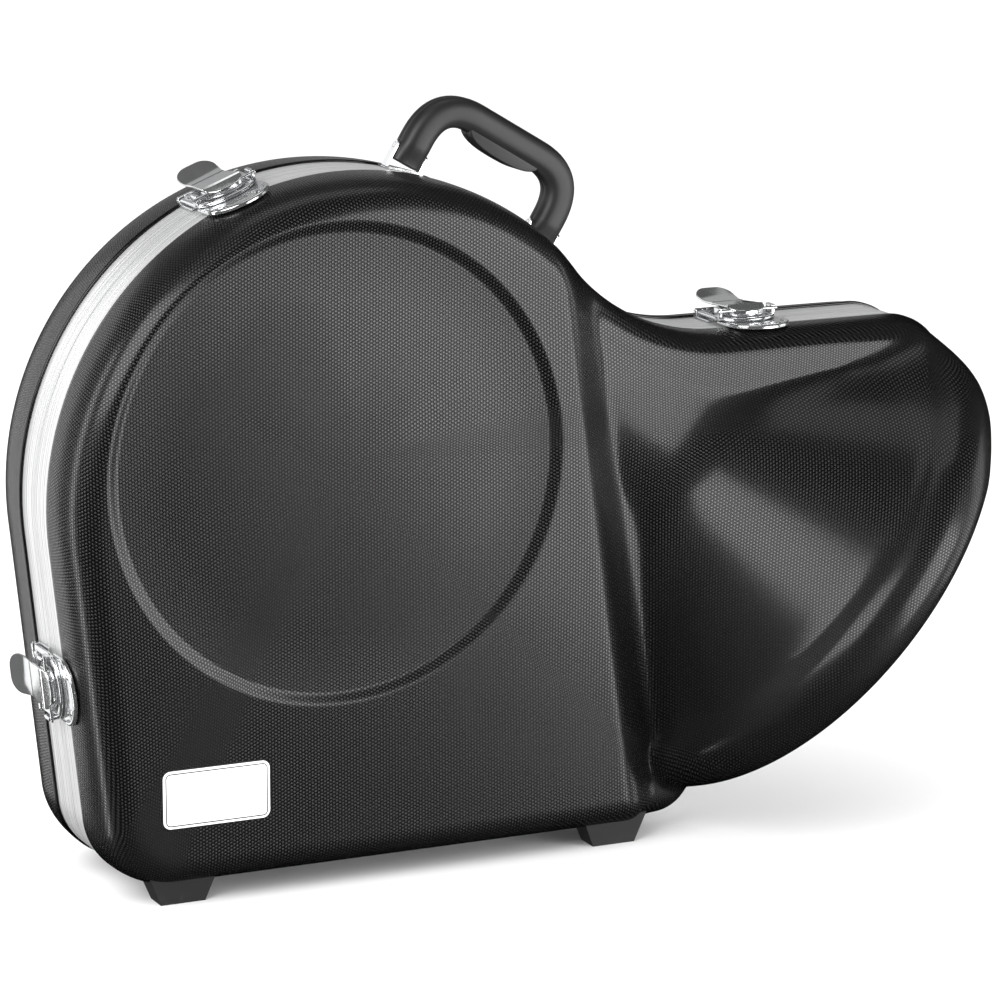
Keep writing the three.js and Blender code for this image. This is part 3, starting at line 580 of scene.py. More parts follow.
def stamped(contour: Sequence[Point2], low: float, high: float, edge: float,
            window: Optional[Sequence[Point2]] = None, segments: int = 3) -> bmesh.types.BMesh:
    """A plate of an outline, with rounded edges and perhaps a window.

    Args:
        contour: the outline in the x, y plane.
        low: height of the underside.
        high: height of the top.
        edge: radius of its edges.
        window: the window's outline.
        segments: steps over a rounded edge.

    Returns:
        The closed plate.
    """
    bm = bmesh.new()

    def loop_of(points: Sequence[Point2]) -> tuple[list, list]:
        """Corners and edges of an outline."""
        corners = [bm.verts.new((x, y, low)) for x, y in points]
        return corners, [bm.edges.new((a, b)) for a, b in zip(corners, corners[1:] + corners[:1])]

    corners, edges = loop_of(contour)
    if window:
        bmesh.ops.bridge_loops(bm, edges=edges + loop_of(window)[1])
    else:
        bm.faces.new(corners)
    raised = bmesh.ops.extrude_face_region(bm, geom=bm.faces[:])
    moved = [item for item in raised["geom"] if isinstance(item, bmesh.types.BMVert)]
    bmesh.ops.translate(bm, verts=moved, vec=(0, 0, high - low))
    bmesh.ops.recalc_face_normals(bm, faces=bm.faces)
    if edge > 0:
        round_edges(bm, edge, segments)
    return bm


def round_edges(bm: bmesh.types.BMesh, radius: float, segments: int = 3, sharper: float = 50.0) -> None:
    """Rounds every edge that is sharper than an angle.

    Args:
        bm: the mesh.
        radius: of the round.
        segments: steps over it.
        sharper: degrees between the faces.
    """
    limit = math.radians(sharper)
    sharp = [e for e in bm.edges if len(e.link_faces) == 2 and e.calc_face_angle() > limit]
    bmesh.ops.bevel(bm, geom=sharp, offset=radius, offset_type="OFFSET", segments=segments, profile=0.5,
                    affect="EDGES", clamp_overlap=True, material=-1)


def turned(profile: Sequence[Point2], steps: int = 24) -> bmesh.types.BMesh:
    """A turned part about the z axis.

    Args:
        profile: radius and height of its points.
        steps: round the axis.

    Returns:
        The closed part.
    """
    bm = bmesh.new()
    corners = [bm.verts.new((radius, 0, height)) for radius, height in profile]
    edges = [bm.edges.new(pair) for pair in zip(corners, corners[1:])]
    bmesh.ops.spin(bm, geom=corners + edges, cent=(0, 0, 0), axis=(0, 0, 1), angle=FULL_TURN, steps=steps,
                   use_merge=True)
    bmesh.ops.remove_doubles(bm, verts=bm.verts, dist=WELD)
    bmesh.ops.recalc_face_normals(bm, faces=bm.faces)
    return bm


def rounded_box(size: Sequence[float], centre: Sequence[float], edge: float,
                segments: int = 3) -> bmesh.types.BMesh:
    """A block with rounded edges."""
    bm = bmesh.new()
    bmesh.ops.create_cube(bm, size=1.0)
    bmesh.ops.scale(bm, vec=size, verts=bm.verts)
    bmesh.ops.translate(bm, vec=centre, verts=bm.verts)
    round_edges(bm, edge, segments)
    return bm


def rod(radius: float, length: float, centre: Sequence[float], edge: float = 0.0,
        steps: int = 24) -> bmesh.types.BMesh:
    """A round rod along x with rounded ends."""
    half = length / 2
    bm = turned([(0, -half), (radius - edge, -half), (radius, edge - half), (radius, half - edge),
                 (radius - edge, half), (0, half)], steps)
    bm.transform(Matrix.Translation(centre) @ Matrix.Rotation(QUARTER_TURN, 4, "Y"))
    return bm


def domed_head(radius: float, rise: float, centre: Sequence[float], steps: int = 20,
               rows: int = 6, sunk: float = 0.2) -> bmesh.types.BMesh:
    """A low domed rivet head standing on a point, sunk by a share of its rise."""
    ball = (radius ** 2 + rise ** 2) / (2 * rise)
    top = math.asin(min(radius / ball, 1.0))
    points = [(0.0, -rise * sunk), (radius, -rise * sunk)]
    for i in range(rows + 1):
        lean = top * (1 - i / rows)
        points.append((ball * math.sin(lean), ball * math.cos(lean) - ball + rise))
    bm = turned(points, steps)
    bm.transform(Matrix.Translation(centre))
    return bm


def round_ended(width: float, back: float, front: float, depth: float, corner: float = 0.0,
                steps: int = 28) -> list[Point2]:
    """A plate outline with straight sides and a round front end; the front looks along -y.

    Args:
        width: across x.
        back: y of its back edge.
        front: how far its front end reaches.
        depth: of the round end.
        corner: radius of its back corners.
        steps: round the front.

    Returns:
        The outline's points.
    """
    half = width / 2
    points = []
    for i in range(steps + 1):
        turn = math.pi + math.pi * i / steps
        points.append((half * math.cos(turn), depth - front + depth * math.sin(turn)))
    if corner <= 0:
        return points + [(half, back), (-half, back)]
    return points + corner_points(half, back, corner, 6)


def corner_points(half: float, back: float, corner: float, rows: int) -> list[Point2]:
    """The two rounded back corners of a plate.

    Args:
        half: half the plate's width.
        back: y of its back edge.
        corner: radius of the corners.
        rows: steps over each corner.

    Returns:
        The points, counter-clockwise.
    """
    points = []
    for side, start in ((1, 0.0), (-1, QUARTER_TURN)):
        for i in range(rows + 1):
            turn = start + QUARTER_TURN * i / rows
            x = side * (half - corner) + corner * math.cos(turn)
            points.append((x, back - corner + corner * math.sin(turn)))
    return points


def keep_side(bm: bmesh.types.BMesh, point: Sequence[float], normal: Sequence[float]) -> None:
    """Cuts a closed mesh along a plane, drops what lies on the normal's side and closes the cut.

    Args:
        bm: the mesh.
        point: a point of the plane.
        normal: the plane's normal.
    """
    geometry = bm.verts[:] + bm.edges[:] + bm.faces[:]
    cut = bmesh.ops.bisect_plane(bm, geom=geometry, dist=WELD, plane_co=point, plane_no=normal,
                                 clear_outer=True)
    edges = [item for item in cut["geom_cut"] if isinstance(item, bmesh.types.BMEdge)]
    bmesh.ops.holes_fill(bm, edges=edges, sides=0)
    bmesh.ops.recalc_face_normals(bm, faces=bm.faces)


def gather(parts: Iterable[bmesh.types.BMesh], matrix: Optional[Matrix] = None) -> bmesh.types.BMesh:
    """Puts meshes together into one and frees them.

    Args:
        parts: the meshes.
        matrix: where the whole goes.

    Returns:
        One mesh that holds them all.
    """
    whole = bmesh.new()
    for part in parts:
        carrier = bpy.data.meshes.new("carrier")
        part.to_mesh(carrier)
        part.free()
        whole.from_mesh(carrier)
        bpy.data.meshes.remove(carrier)
    if matrix is not None:
        whole.transform(matrix)
    return whole


def make_piece(name: str, bm: bmesh.types.BMesh, finish: Finish, body: str, nodes: Sequence[str] = (),
               crease: Optional[float] = 38.0) -> bpy.types.Object:
    """Turns a mesh into a piece that rides on a body.

    Args:
        name: the piece's name.
        bm: its mesh, which is freed.
        finish: what it wears.
        body: the body that carries it.
        nodes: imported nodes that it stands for.
        crease: edges sharper than this many degrees look sharp; None for none.

    Returns:
        The piece.
    """
    mesh = bpy.data.meshes.new(name)
    bm.to_mesh(mesh)
    bm.free()
    mesh.polygons.foreach_set("use_smooth", [True] * len(mesh.polygons))
    if crease is not None:
        mesh.set_sharp_from_angle(angle=math.radians(crease))
    piece = bpy.data.objects.new(name, mesh)
    bpy.context.scene.collection.objects.link(piece)
    finish.wear(piece)
    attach(piece, body)
    if nodes:
        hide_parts(*nodes)
    stands_for = ", ".join(nodes) or "nothing"
    log.info("%s rides on %s, %d faces, stands for %s", name, body, len(mesh.polygons), stands_for)
    return piece


# The case's form


class Half(Enum):
    """The two halves of the case, with the way each looks along y."""

    FRONT = -1
    BACK = 1

    @property
    def label(self) -> str:
        """The half's word in piece names."""
        return self.name.lower()

    @property
    def body(self) -> str:
        """The body that carries the half."""
        return "lid" if self is Half.FRONT else "back"


@dataclass(frozen=True)
class RimPoint:
    """A point of the front view's outline and the way inwards from it."""

    x: float
    z: float
    inward_x: float
    inward_z: float

    def inset(self, distance: float) -> Point2:
        """The point a distance inside the outline."""
        return self.x + self.inward_x * distance, self.z + self.inward_z * distance


@dataclass
class CaseForm:
    """The outline and the depth of the moulded shells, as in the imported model."""

    shift: float
    arc_radius: float = 204 * MM
    arc_height: float = 251 * MM
    side_lean: float = 6.0
    bottom: float = 10 * MM
    top_drop: float = 121 * MM
    neck_radius: float = 140 * MM
    left_corner: float = 48 * MM
    right_corner: float = 30 * MM
    top_corner: float = 45 * MM
    mouth_radius: float = 185 * MM
    mouth_reach: float = 346 * MM
    mouth_drop: float = 91.5 * MM
    mouth_turn: float = 38.5
    mouth_wall: float = 4 * MM
    roll_radius: float = 25 * MM
    flare_radius: float = 158 * MM
    throat_radius: float = 38 * MM
    flare_length: float = 60 * MM
    front_depth: float = 46 * MM
    back_depth: float = 56 * MM
    valley_depth: float = 26 * MM
    ridge_reach: float = 165 * MM
    ridge_lean: float = 8.0
    ridge_fall: float = 34 * MM
    edge_round: float = 24 * MM
    edge_power: float = 2.7
    blend: float = 22 * MM
    disc_radius: float = 151 * MM
    disc_depth: float = 2.4 * MM
    disc_left: float = 25 * MM
    disc_rise: float = 25 * MM
    disc_step: float = 9 * MM
    band_half: float = 24.5 * MM
    band_inset: float = 1.5 * MM
    column_spacing: float = 3.6 * MM
    search_spacing: float = 0.9 * MM
    rim_points: list[RimPoint] = field(default_factory=list)
    tree: Optional[kdtree.KDTree] = None

    def __post_init__(self) -> None:
        """Works out the places that follow from the sizes."""
        turn = math.radians(self.mouth_turn)
        self.mouth_out = Vector((math.cos(turn), -math.sin(turn)))
        self.mouth_up = Vector((math.sin(turn), math.cos(turn)))
        self.mouth = Vector((self.mouth_reach, self.arc_height - self.mouth_drop))
        self.top = self.arc_height + self.arc_radius - self.top_drop
        self.arc_centre = Vector((0.0, self.arc_height))
        neck_rise = self.top + self.neck_radius - self.arc_height
        reach = self.arc_radius + self.neck_radius
        self.neck_centre = Vector((math.sqrt(reach ** 2 - neck_rise ** 2), self.top + self.neck_radius))
        self.neck_angle = math.degrees(math.atan2(neck_rise, self.neck_centre.x))
        lean = math.radians(self.side_lean)
        self.side_in = Vector((math.cos(lean), math.sin(lean)))
        self.side_top = self.arc_centre - self.side_in * self.arc_radius
        low = self.bottom + self.left_corner
        reach = self.left_corner - (low - self.side_top.y) * self.side_in.y
        self.left_centre = Vector((self.side_top.x + reach / self.side_in.x, low))
        low = self.bottom + self.right_corner
        self.right_centre = Vector((self.chord_x(low, self.right_corner), low))
        high = self.top - self.top_corner
        self.top_centre = Vector((self.chord_x(high, self.top_corner), high))
        self.disc_centre = Vector((-self.disc_left, self.arc_height + self.disc_rise))
        self.rim_points = self.sample_outline(self.column_spacing)
        dense = self.sample_outline(self.search_spacing)
        self.tree = kdtree.KDTree(len(dense))
        for i, point in enumerate(dense):
            self.tree.insert((point.x, point.z, 0.0), i)
        self.tree.balance()
        self.dense = dense

    def chord_x(self, height: float, inside: float) -> float:
        """X on a line inside the bell's mouth, at a height."""
        return self.mouth.x - (inside + (height - self.mouth.y) * self.mouth_out.y) / self.mouth_out.x

    def sample_outline(self, spacing: float) -> list[RimPoint]:
        """Points round the outline, counter-clockwise in the front view.

        Args:
            spacing: about the distance between points.

        Returns:
            The points with their inward ways.
        """
        points: list[RimPoint] = []

        def line(start: Vector, end: Vector) -> None:
            """Adds a straight run."""
            way = (end - start).normalized()
            steps = max(2, round((end - start).length / spacing))
            for i in range(steps):
                at = start.lerp(end, i / steps)
                points.append(RimPoint(at.x, at.y, -way.y, way.x))

        def arc(centre: Vector, radius: float, start: float, end: float, hollow: bool = False) -> None:
            """Adds a round run between two angles in degrees."""
            steps = max(4, round(abs(math.radians(end - start)) * radius / spacing))
            side = 1 if hollow else -1
            for i in range(steps):
                turn = math.radians(start + (end - start) * i / steps)
                way = Vector((math.cos(turn), math.sin(turn)))
                at = centre + way * radius
                points.append(RimPoint(at.x, at.y, way.x * side, way.y * side))

        line(Vector((self.left_centre.x, self.bottom)), Vector((self.right_centre.x, self.bottom)))
        arc(self.right_centre, self.right_corner, -90, -self.mouth_turn)
        line(self.right_centre + self.mouth_out * self.right_corner,
             self.top_centre + self.mouth_out * self.top_corner)
        arc(self.top_centre, self.top_corner, -self.mouth_turn, 90)
        line(Vector((self.top_centre.x, self.top)), Vector((self.neck_centre.x, self.top)))
        arc(self.neck_centre, self.neck_radius, -90, self.neck_angle - 180, hollow=True)
        arc(self.arc_centre, self.arc_radius, self.neck_angle, 180 + self.side_lean)
        line(self.side_top, self.left_centre - self.side_in * self.left_corner)
        arc(self.left_centre, self.left_corner, 180 + self.side_lean, 270)
        return points

    def edge_distance(self, x: float, z: float) -> float:
        """How far inside the outline a point lies."""
        _, index, _ = self.tree.find((x, z, 0.0))
        near = self.dense[index]
        return (x - near.x) * near.inward_x + (z - near.z) * near.inward_z

    def face_depth(self, half: Half) -> float:
        """Depth of a half's flat face from its band."""
        return self.front_depth if half is Half.FRONT else self.back_depth

    def bell_radius(self, back: float, under: float) -> float:
        """Radius of the bell's skin: a rolled rim, then a hollow flare.

        Args:
            back: distance behind the mouth.
            under: how far below the outer skin.

        Returns:
            The radius.
        """
        roll = self.roll_radius - under
        off = abs(back - self.roll_radius) / roll
        bulge = math.sqrt(max(1 - off ** 2, 0.0)) - max(off - 1, 0.0)
        rim = self.mouth_radius - self.roll_radius + roll * bulge
        if back < self.roll_radius:
            return rim
        fall = math.exp(-max(back + under - 2 * self.roll_radius, 0.0) / self.flare_length)
        flare = self.throat_radius + (self.flare_radius - self.throat_radius) * fall - under
        return soft_max(rim, flare, self.blend / 2)

    def skin_depth(self, x: float, z: float, edge: float, under: float, half: Half) -> float:
        """Depth of the face, its slope and the bell, rounded at the edge; the disc is let in.

        Args:
            x: across the front view.
            z: up.
            edge: distance inside the outline.
            under: how far below the outer skin.
            half: which half.

        Returns:
            The depth in front of the band.
        """
        share = min(max((edge - under) / (self.edge_round - under), 0.0), 1.0)
        rounded = (1 - (1 - share) ** self.edge_power) ** (1 / self.edge_power)
        ridge = self.ridge_reach - (z - self.arc_height / 2) * math.tan(math.radians(self.ridge_lean))
        depth = self.face_depth(half)
        depth += (self.valley_depth - depth) * smooth_step((x - ridge) / self.ridge_fall)
        reach_x, reach_z = x - self.mouth.x, z - self.mouth.y
        back = -(reach_x * self.mouth_out.x + reach_z * self.mouth_out.y)
        across = reach_x * self.mouth_up.x + reach_z * self.mouth_up.y
        radius = self.bell_radius(back, under)
        wall = min(max((edge - under) / self.mouth_wall, 0.0), 1.0)
        bell = (math.sqrt(max(radius ** 2 - across ** 2, 0.0)) - self.band_half) * wall
        out = math.hypot(x - self.disc_centre.x, z - self.disc_centre.y) - self.disc_radius
        inside = 1 - smooth_step(out / self.disc_step + 0.5)
        return soft_max((depth - under) * rounded, bell, self.blend * share) - self.disc_depth * inside

    def world(self, x: float, z: float, depth: float, half: Half) -> Vector:
        """The point of a half at a depth in front of its band."""
        return Vector((x + self.shift, half.value * (self.band_half + depth), z))

    def rounding(self, under: float, start: float, steps: int) -> list[float]:
        """Insets from start outwards to the lip, even along the rounded edge.

        Args:
            under: how far below the outer skin.
            start: the first inset.
            steps: how many.

        Returns:
            The insets, without the first.
        """
        power = self.edge_power
        width = self.edge_round - under
        first = (1 - (1 - (start - under) / width) ** power) ** (1 / power)
        insets = []
        for i in range(1, steps + 1):
            rise = first * (1 - i / steps)
            insets.append(under + width * (1 - (1 - rise ** power) ** (1 / power)))
        return insets


def smooth_step(t: float) -> float:
    """A soft step from 0 to 1."""
    t = min(max(t, 0.0), 1.0)
    return t * t * (3 - 2 * t)


def soft_max(a: float, b: float, blend: float) -> float:
    """The larger of two values, rounded off where they cross."""
    near = max(blend - abs(a - b), 0.0)
    return max(a, b) + (near ** 2 / (4 * blend) if near > 0 else 0.0)


Station = tuple[float, float, float]


@dataclass
class DishSkin:
    """A skin of a dished half as rows of stations, from its middle outwards to its lip."""

    form: CaseForm
    half: Half
    under: float
    disc_rows: int
    ray_rows: int
    edge_rows: int
    middle_rows: int = 4
    disc_edge_start: float = 12 * MM

    def column(self, point: RimPoint) -> list[Station]:
        """Stations of one column: x, z and depth.

        Args:
            point: the column's outline point.

        Returns:
            The stations from the middle to the lip.
        """
        form = self.form
        start = self.disc_edge_start if self.disc_rows else form.edge_round
        start = max(start, self.under)
        end = Vector(point.inset(start))
        centre = form.disc_centre
        way = (end - centre).normalized()
        reach = (end - centre).length
        places = []
        inner = form.disc_radius - form.disc_step / 2
        outer = form.disc_radius + form.disc_step / 2
        ray_from = 0.0
        if self.disc_rows:
            places += [centre + way * (inner * i / self.middle_rows) for i in range(self.middle_rows + 1)]
            steps = range(1, self.disc_rows + 1)
            places += [centre + way * (inner + form.disc_step * i / self.disc_rows) for i in steps]
            ray_from = outer
        else:
            places.append(centre.copy())
        steps = range(1, self.ray_rows + 1)
        places += [centre + way * (ray_from + (reach - ray_from) * i / self.ray_rows) for i in steps]
        stations = []
        for at in places:
            edge = form.edge_distance(at.x, at.y)
            depth = form.skin_depth(at.x, at.y, max(edge, self.under), self.under, self.half)
            stations.append((at.x, at.y, depth))
        for inset in form.rounding(self.under, start, self.edge_rows):
            x, z = point.inset(inset)
            stations.append((x, z, form.skin_depth(x, z, inset, self.under, self.half)))
        return stations


@dataclass
class Shell:
    """One moulded shell: an outer skin, a rounded lip and an inner skin."""

    form: CaseForm
    half: Half
    wall: float = 3 * MM
    lip_round: float = 0.7 * MM
    beak_turn: float = math.radians(35)
    beak_reach: float = 20 * MM
    beak_radius: float = 62 * MM
    beak_lip: float = 5 * MM
    beak_passes: int = 36
    beak_narrowing: float = 0.6
    finish: Finish = field(default_factory=PebbledShell)

    def build(self) -> bpy.types.Object:
        """Lays one grid over both skins.

        Returns:
            The shell.
        """
        form, half = self.form, self.half
        outer = DishSkin(form, half, 0.0, disc_rows=8, ray_rows=84, edge_rows=18)
        inner = DishSkin(form, half, self.wall, disc_rows=0, ray_rows=36, edge_rows=8)
        columns, lengths = [], []
        for point in form.rim_points:
            out = outer.column(point)
            lip_x, lip_z, _ = out.pop()
            cut = self.lip_round
            out.append((lip_x, lip_z, cut))
            out.append((*point.inset(cut * 0.3), cut * 0.3))
            out.append((*point.inset(cut), 0.0))
            back = inner.column(point)[::-1]
            line = [form.world(*station, half) for station in out + back]
            columns.append(line)
            walked = [0.0]
            for a, b in zip(line, line[1:]):
                walked.append(walked[-1] + (b - a).length)
            turn = math.atan2(point.z - form.disc_centre.y, point.x - form.disc_centre.x)
            lengths.append((walked, walked[len(out) - 1], turn))
        count, rows = len(columns), len(columns[0]) - 1

        def place(column: int, row: int) -> Vector:
            """The point of the joined skins."""
            return columns[column % count][row]

        def flat(column: int, row: int) -> Point2:
            """Unrolls the skin about its middle, true along each column."""
            walked, _, turn = lengths[column % count]
            return walked[row] * math.cos(turn), walked[row] * math.sin(turn)

        def rim(column: int, row: int) -> float:
            """Distance from the lip along the skin."""
            walked, lip, _ = lengths[column % count]
            return abs(lip - walked[row])

        bm = lay_grid(count, rows, place, flat, rim)
        self.soften_beak(bm)
        name = f"shell_{half.label}"
        return make_piece(f"{name}_skin", bm, self.finish, half.body, [name], crease=None)

    def soften_beak(self, bm: bmesh.types.BMesh) -> None:
        """Lets the rolled rim, the face and the edge run together at the bell's upper corner.

        Args:
            bm: the shell's mesh.
        """
        form = self.form
        rims = bm.verts.layers.float["rim"]
        way = Vector((math.cos(self.beak_turn), math.sin(self.beak_turn)))
        middle = form.top_centre + way * self.beak_reach
        near = []
        for vertex in bm.verts:
            away = math.hypot(vertex.co.x - form.shift - middle.x, vertex.co.z - middle.y)
            if away < self.beak_radius and vertex[rims] > self.beak_lip:
                near.append((away, vertex))
        for i in range(self.beak_passes):
            limit = self.beak_radius * (1 - self.beak_narrowing * i / self.beak_passes)
            inner = [vertex for away, vertex in near if away < limit]
            bmesh.ops.smooth_vert(bm, verts=inner, factor=0.5,
                                  use_axis_x=True, use_axis_y=True, use_axis_z=True)


@dataclass
class Band:
    """One of the two extrusions, with drawn grooves and a flange that slips inside the shell."""

    form: CaseForm
    half: Half
    gap: float = 0.3 * MM
    wall: float = 3 * MM
    flange: float = 6.5 * MM
    flange_wall: float = 1.6 * MM
    groove_first: float = 3.1 * MM
    groove_pitch: float = 3.3 * MM
    grooves: int = 5
    groove_width: float = 0.75 * MM
    groove_depth: float = 0.4 * MM
    edge: float = 0.45 * MM
    finish: Finish = field(default_factory=SatinBand)

    def profile(self) -> list[Point2]:
        """The extrusion's section: inset from the outline and distance from the parting line."""
        near, far = self.gap / 2, self.form.band_half - self.gap
        face = self.form.band_inset
        edge, round_in = self.edge, self.edge * 0.3
        points = [(face + edge, near), (face + round_in, near + round_in), (face, near + edge)]
        for i in range(self.grooves):
            middle = self.groove_first + self.groove_pitch * i
            for off, deep in ((-0.5, 0.0), (-0.22, 1.0), (0.22, 1.0), (0.5, 0.0)):
                points.append((face + self.groove_depth * deep, middle + self.groove_width * off))
        under = self.wall + 2 * self.gap
        inner = under + self.flange_wall
        tip = self.form.band_half + self.flange
        points += [(face, far - edge), (face + round_in, far - round_in), (face + edge, far)]
        points += [(under - edge, far), (under, far + edge), (under, tip - edge), (under + edge, tip)]
        points += [(inner - edge, tip), (inner, tip - edge), (inner, near + edge), (inner - edge, near)]
        return points

    def build(self) -> bpy.types.Object:
        """Sweeps the section round the outline.

        Returns:
            The band.
        """
        rim, section = self.form.rim_points, self.profile()
        half = self.half

        def place(column: int, row: int) -> Vector:
            """A point of the section at a point of the outline."""
            inset, away = section[row % len(section)]
            x, z = rim[column % len(rim)].inset(inset)
            return Vector((x + self.form.shift, half.value * away, z))

        bm = lay_grid(len(rim), len(section), place)
        return make_piece(f"band_{half.label}_rail", bm, self.finish, half.body, [f"band_{half.label}"])


@dataclass
class Lining:
    """The padded plush lining of one half, rolled over at its lip."""

    form: CaseForm
    half: Half
    under: float = 6.3 * MM
    padding: float = 7.5 * MM
    lip: float = 0.6 * MM
    softness: float = 0.7 * MM
    swells: float = 22.0                # per metre
    wall_rows: int = 5
    roll_rows: int = 8
    inner_rays: int = 40
    inner_edges: int = 8
    soft_start: int = 6                 # rows over which the swells begin
    finish: Finish = field(default_factory=BlackPlush)

    def build(self) -> bpy.types.Object:
        """Two skins joined by a rolled lip.

        Returns:
            The lining.
        """
        form, half = self.form, self.half
        outer = DishSkin(form, half, self.under, disc_rows=0, ray_rows=36, edge_rows=6)
        inner = DishSkin(form, half, self.under + self.padding, disc_rows=0, ray_rows=self.inner_rays,
                         edge_rows=self.inner_edges)
        roll, wall_rows = self.padding / 2, self.wall_rows
        straight = form.band_half - self.lip - roll
        rim = form.rim_points[::2]
        columns = []
        for point in rim:
            line = [form.world(*station, half) for station in outer.column(point)]
            for i in range(1, wall_rows):
                away = self.lip + roll + straight * (1 - i / wall_rows)
                line.append(self.at_lip(point, self.under, away))
            for i in range(self.roll_rows + 1):
                turn = math.pi * i / self.roll_rows
                inset = self.under + roll * (1 - math.cos(turn))
                line.append(self.at_lip(point, inset, self.lip + roll * (1 - math.sin(turn))))
            for i in range(1, wall_rows):
                away = self.lip + roll + straight * i / wall_rows
                line.append(self.at_lip(point, self.under + self.padding, away))
            line += [form.world(*station, half) for station in inner.column(point)[::-1]]
            columns.append(line)
        count, rows = len(columns), len(columns[0]) - 1
        first_soft = rows - self.inner_rays - self.inner_edges

        def place(column: int, row: int) -> Vector:
            """The point, with slow soft swells on the side that shows."""
            at = columns[column % count][row].copy()
            if row > first_soft:
                swell = (noise.noise(at * self.swells) + 1) / 2 * self.softness
                at.y -= half.value * swell * smooth_step((row - first_soft) / self.soft_start)
            return at

        name = f"lining_{half.label}"
        bm = lay_grid(count, rows, place)
        piece = make_piece(name, bm, self.finish, half.body, [f"liner_{half.label}"], crease=None)
        return piece

    def at_lip(self, point: RimPoint, inset: float, away: float) -> Vector:
        """A point of the lining's wall beside the band."""
        x, z = point.inset(inset)
        return Vector((x + self.form.shift, self.half.value * away, z))


@dataclass
class Island:
    """The round pad inside the coil of tubing, swelled as cloth over its foam."""

    form: CaseForm
    half: Half
    radius: float = 62 * MM
    base_radius: float = 74 * MM
    height: float = 34 * MM
    lining: float = 13.8 * MM
    base_gap: float = 0.6 * MM
    seam_height: float = 1.5 * MM
    crown_room: float = 2 * MM          # left above the foam for the swelling
    steps: int = 48
    voxel: float = 4 * MM
    pressure: float = 4.0
    frames: int = 20
    quality: int = 6
    most: float = 5 * MM                # that the cover moves
    finish: Finish = field(default_factory=BlackPlush)

    def build(self) -> bpy.types.Object:
        """Turns the pad's section and swells it.

        Returns:
            The pad.
        """
        floor = self.form.band_half + self.form.face_depth(self.half) - self.lining - self.base_gap
        low, high = self.seam_height, self.height - self.crown_room
        wide, narrow = self.base_radius, self.radius
        profile = [(0.0, low), (wide / 2, low), (wide - 8 * MM, low), (wide - 3 * MM, low + 2 * MM)]
        profile += [(wide - 4 * MM, low + 5 * MM), (narrow - 1 * MM, high - 8 * MM)]
        profile += [(narrow - 4 * MM, high - 2 * MM), (narrow - 9 * MM, high)]
        profile += [(narrow / 2, high), (0.0, high)]
        bm = turned(profile, self.steps)
        side = self.half.value
        centre = self.form.arc_centre
        middle_x = centre.x + self.form.shift
        bm.transform(Matrix(((1, 0, 0, middle_x), (0, 0, -side, side * floor),
                             (0, 1, 0, centre.y), (0, 0, 0, 1))))
        bmesh.ops.recalc_face_normals(bm, faces=bm.faces)
        name = f"island_{self.half.label}_cushion"
        node = f"island_pad_{self.half.label}"
        piece = make_piece(name, bm, self.finish, self.half.body, [node], crease=None)
        self.swell(piece, side * floor)
        return piece

    def swell(self, piece: bpy.types.Object, base: float) -> None:
        """Blows the cover up over its foam as cloth, and keeps it off the lining.

        Args:
            piece: the cushion.
            base: y of its seat.
        """
        scene = bpy.context.scene
        bpy.context.view_layer.objects.active = piece
        remesh = piece.modifiers.new("even", "REMESH")
        remesh.mode, remesh.voxel_size = "VOXEL", self.voxel
        self.keep_result(piece)
        start = [vertex.co.copy() for vertex in piece.data.vertices]
        cloth = piece.modifiers.new("cover", "CLOTH")
        cloth.settings.use_pressure = True
        cloth.settings.uniform_pressure_force = self.pressure
        cloth.settings.effector_weights.gravity = 0.0
        cloth.settings.quality = self.quality
        cloth.point_cache.frame_start, cloth.point_cache.frame_end = 1, self.frames
        for frame_number in range(1, self.frames + 1):
            scene.frame_set(frame_number)
        self.keep_result(piece)
        scene.frame_set(1)
        side = self.half.value
        for vertex, before in zip(piece.data.vertices, start):
            move = vertex.co - before
            if move.length > self.most:
                move *= self.most / move.length
            vertex.co = before + move
            if side * (vertex.co.y - base) > 0:
                vertex.co.y = base
        finer = piece.modifiers.new("finer", "SUBSURF")
        finer.levels = finer.render_levels = 1
        piece.data.polygons.foreach_set("use_smooth", [True] * len(piece.data.polygons))

    @staticmethod
    def keep_result(piece: bpy.types.Object) -> None:
        """Writes the modifiers' result into the mesh and drops them."""
        shown = piece.evaluated_get(bpy.context.evaluated_depsgraph_get())
        mesh = bpy.data.meshes.new_from_object(shown)
        piece.modifiers.clear()
        piece.data = mesh


# Fittings


def seat_matrix(form: CaseForm, at: Vector, inward: Vector) -> Matrix:
    """A frame on the band's outer face: x along the outline, y across the band, z outwards."""
    surface = at + inward * form.band_inset
    return Matrix(((-inward.y, 0, -inward.x, surface.x + form.shift), (0, 1, 0, 0),
                   (inward.x, 0, -inward.y, surface.y), (0, 0, 0, 1)))


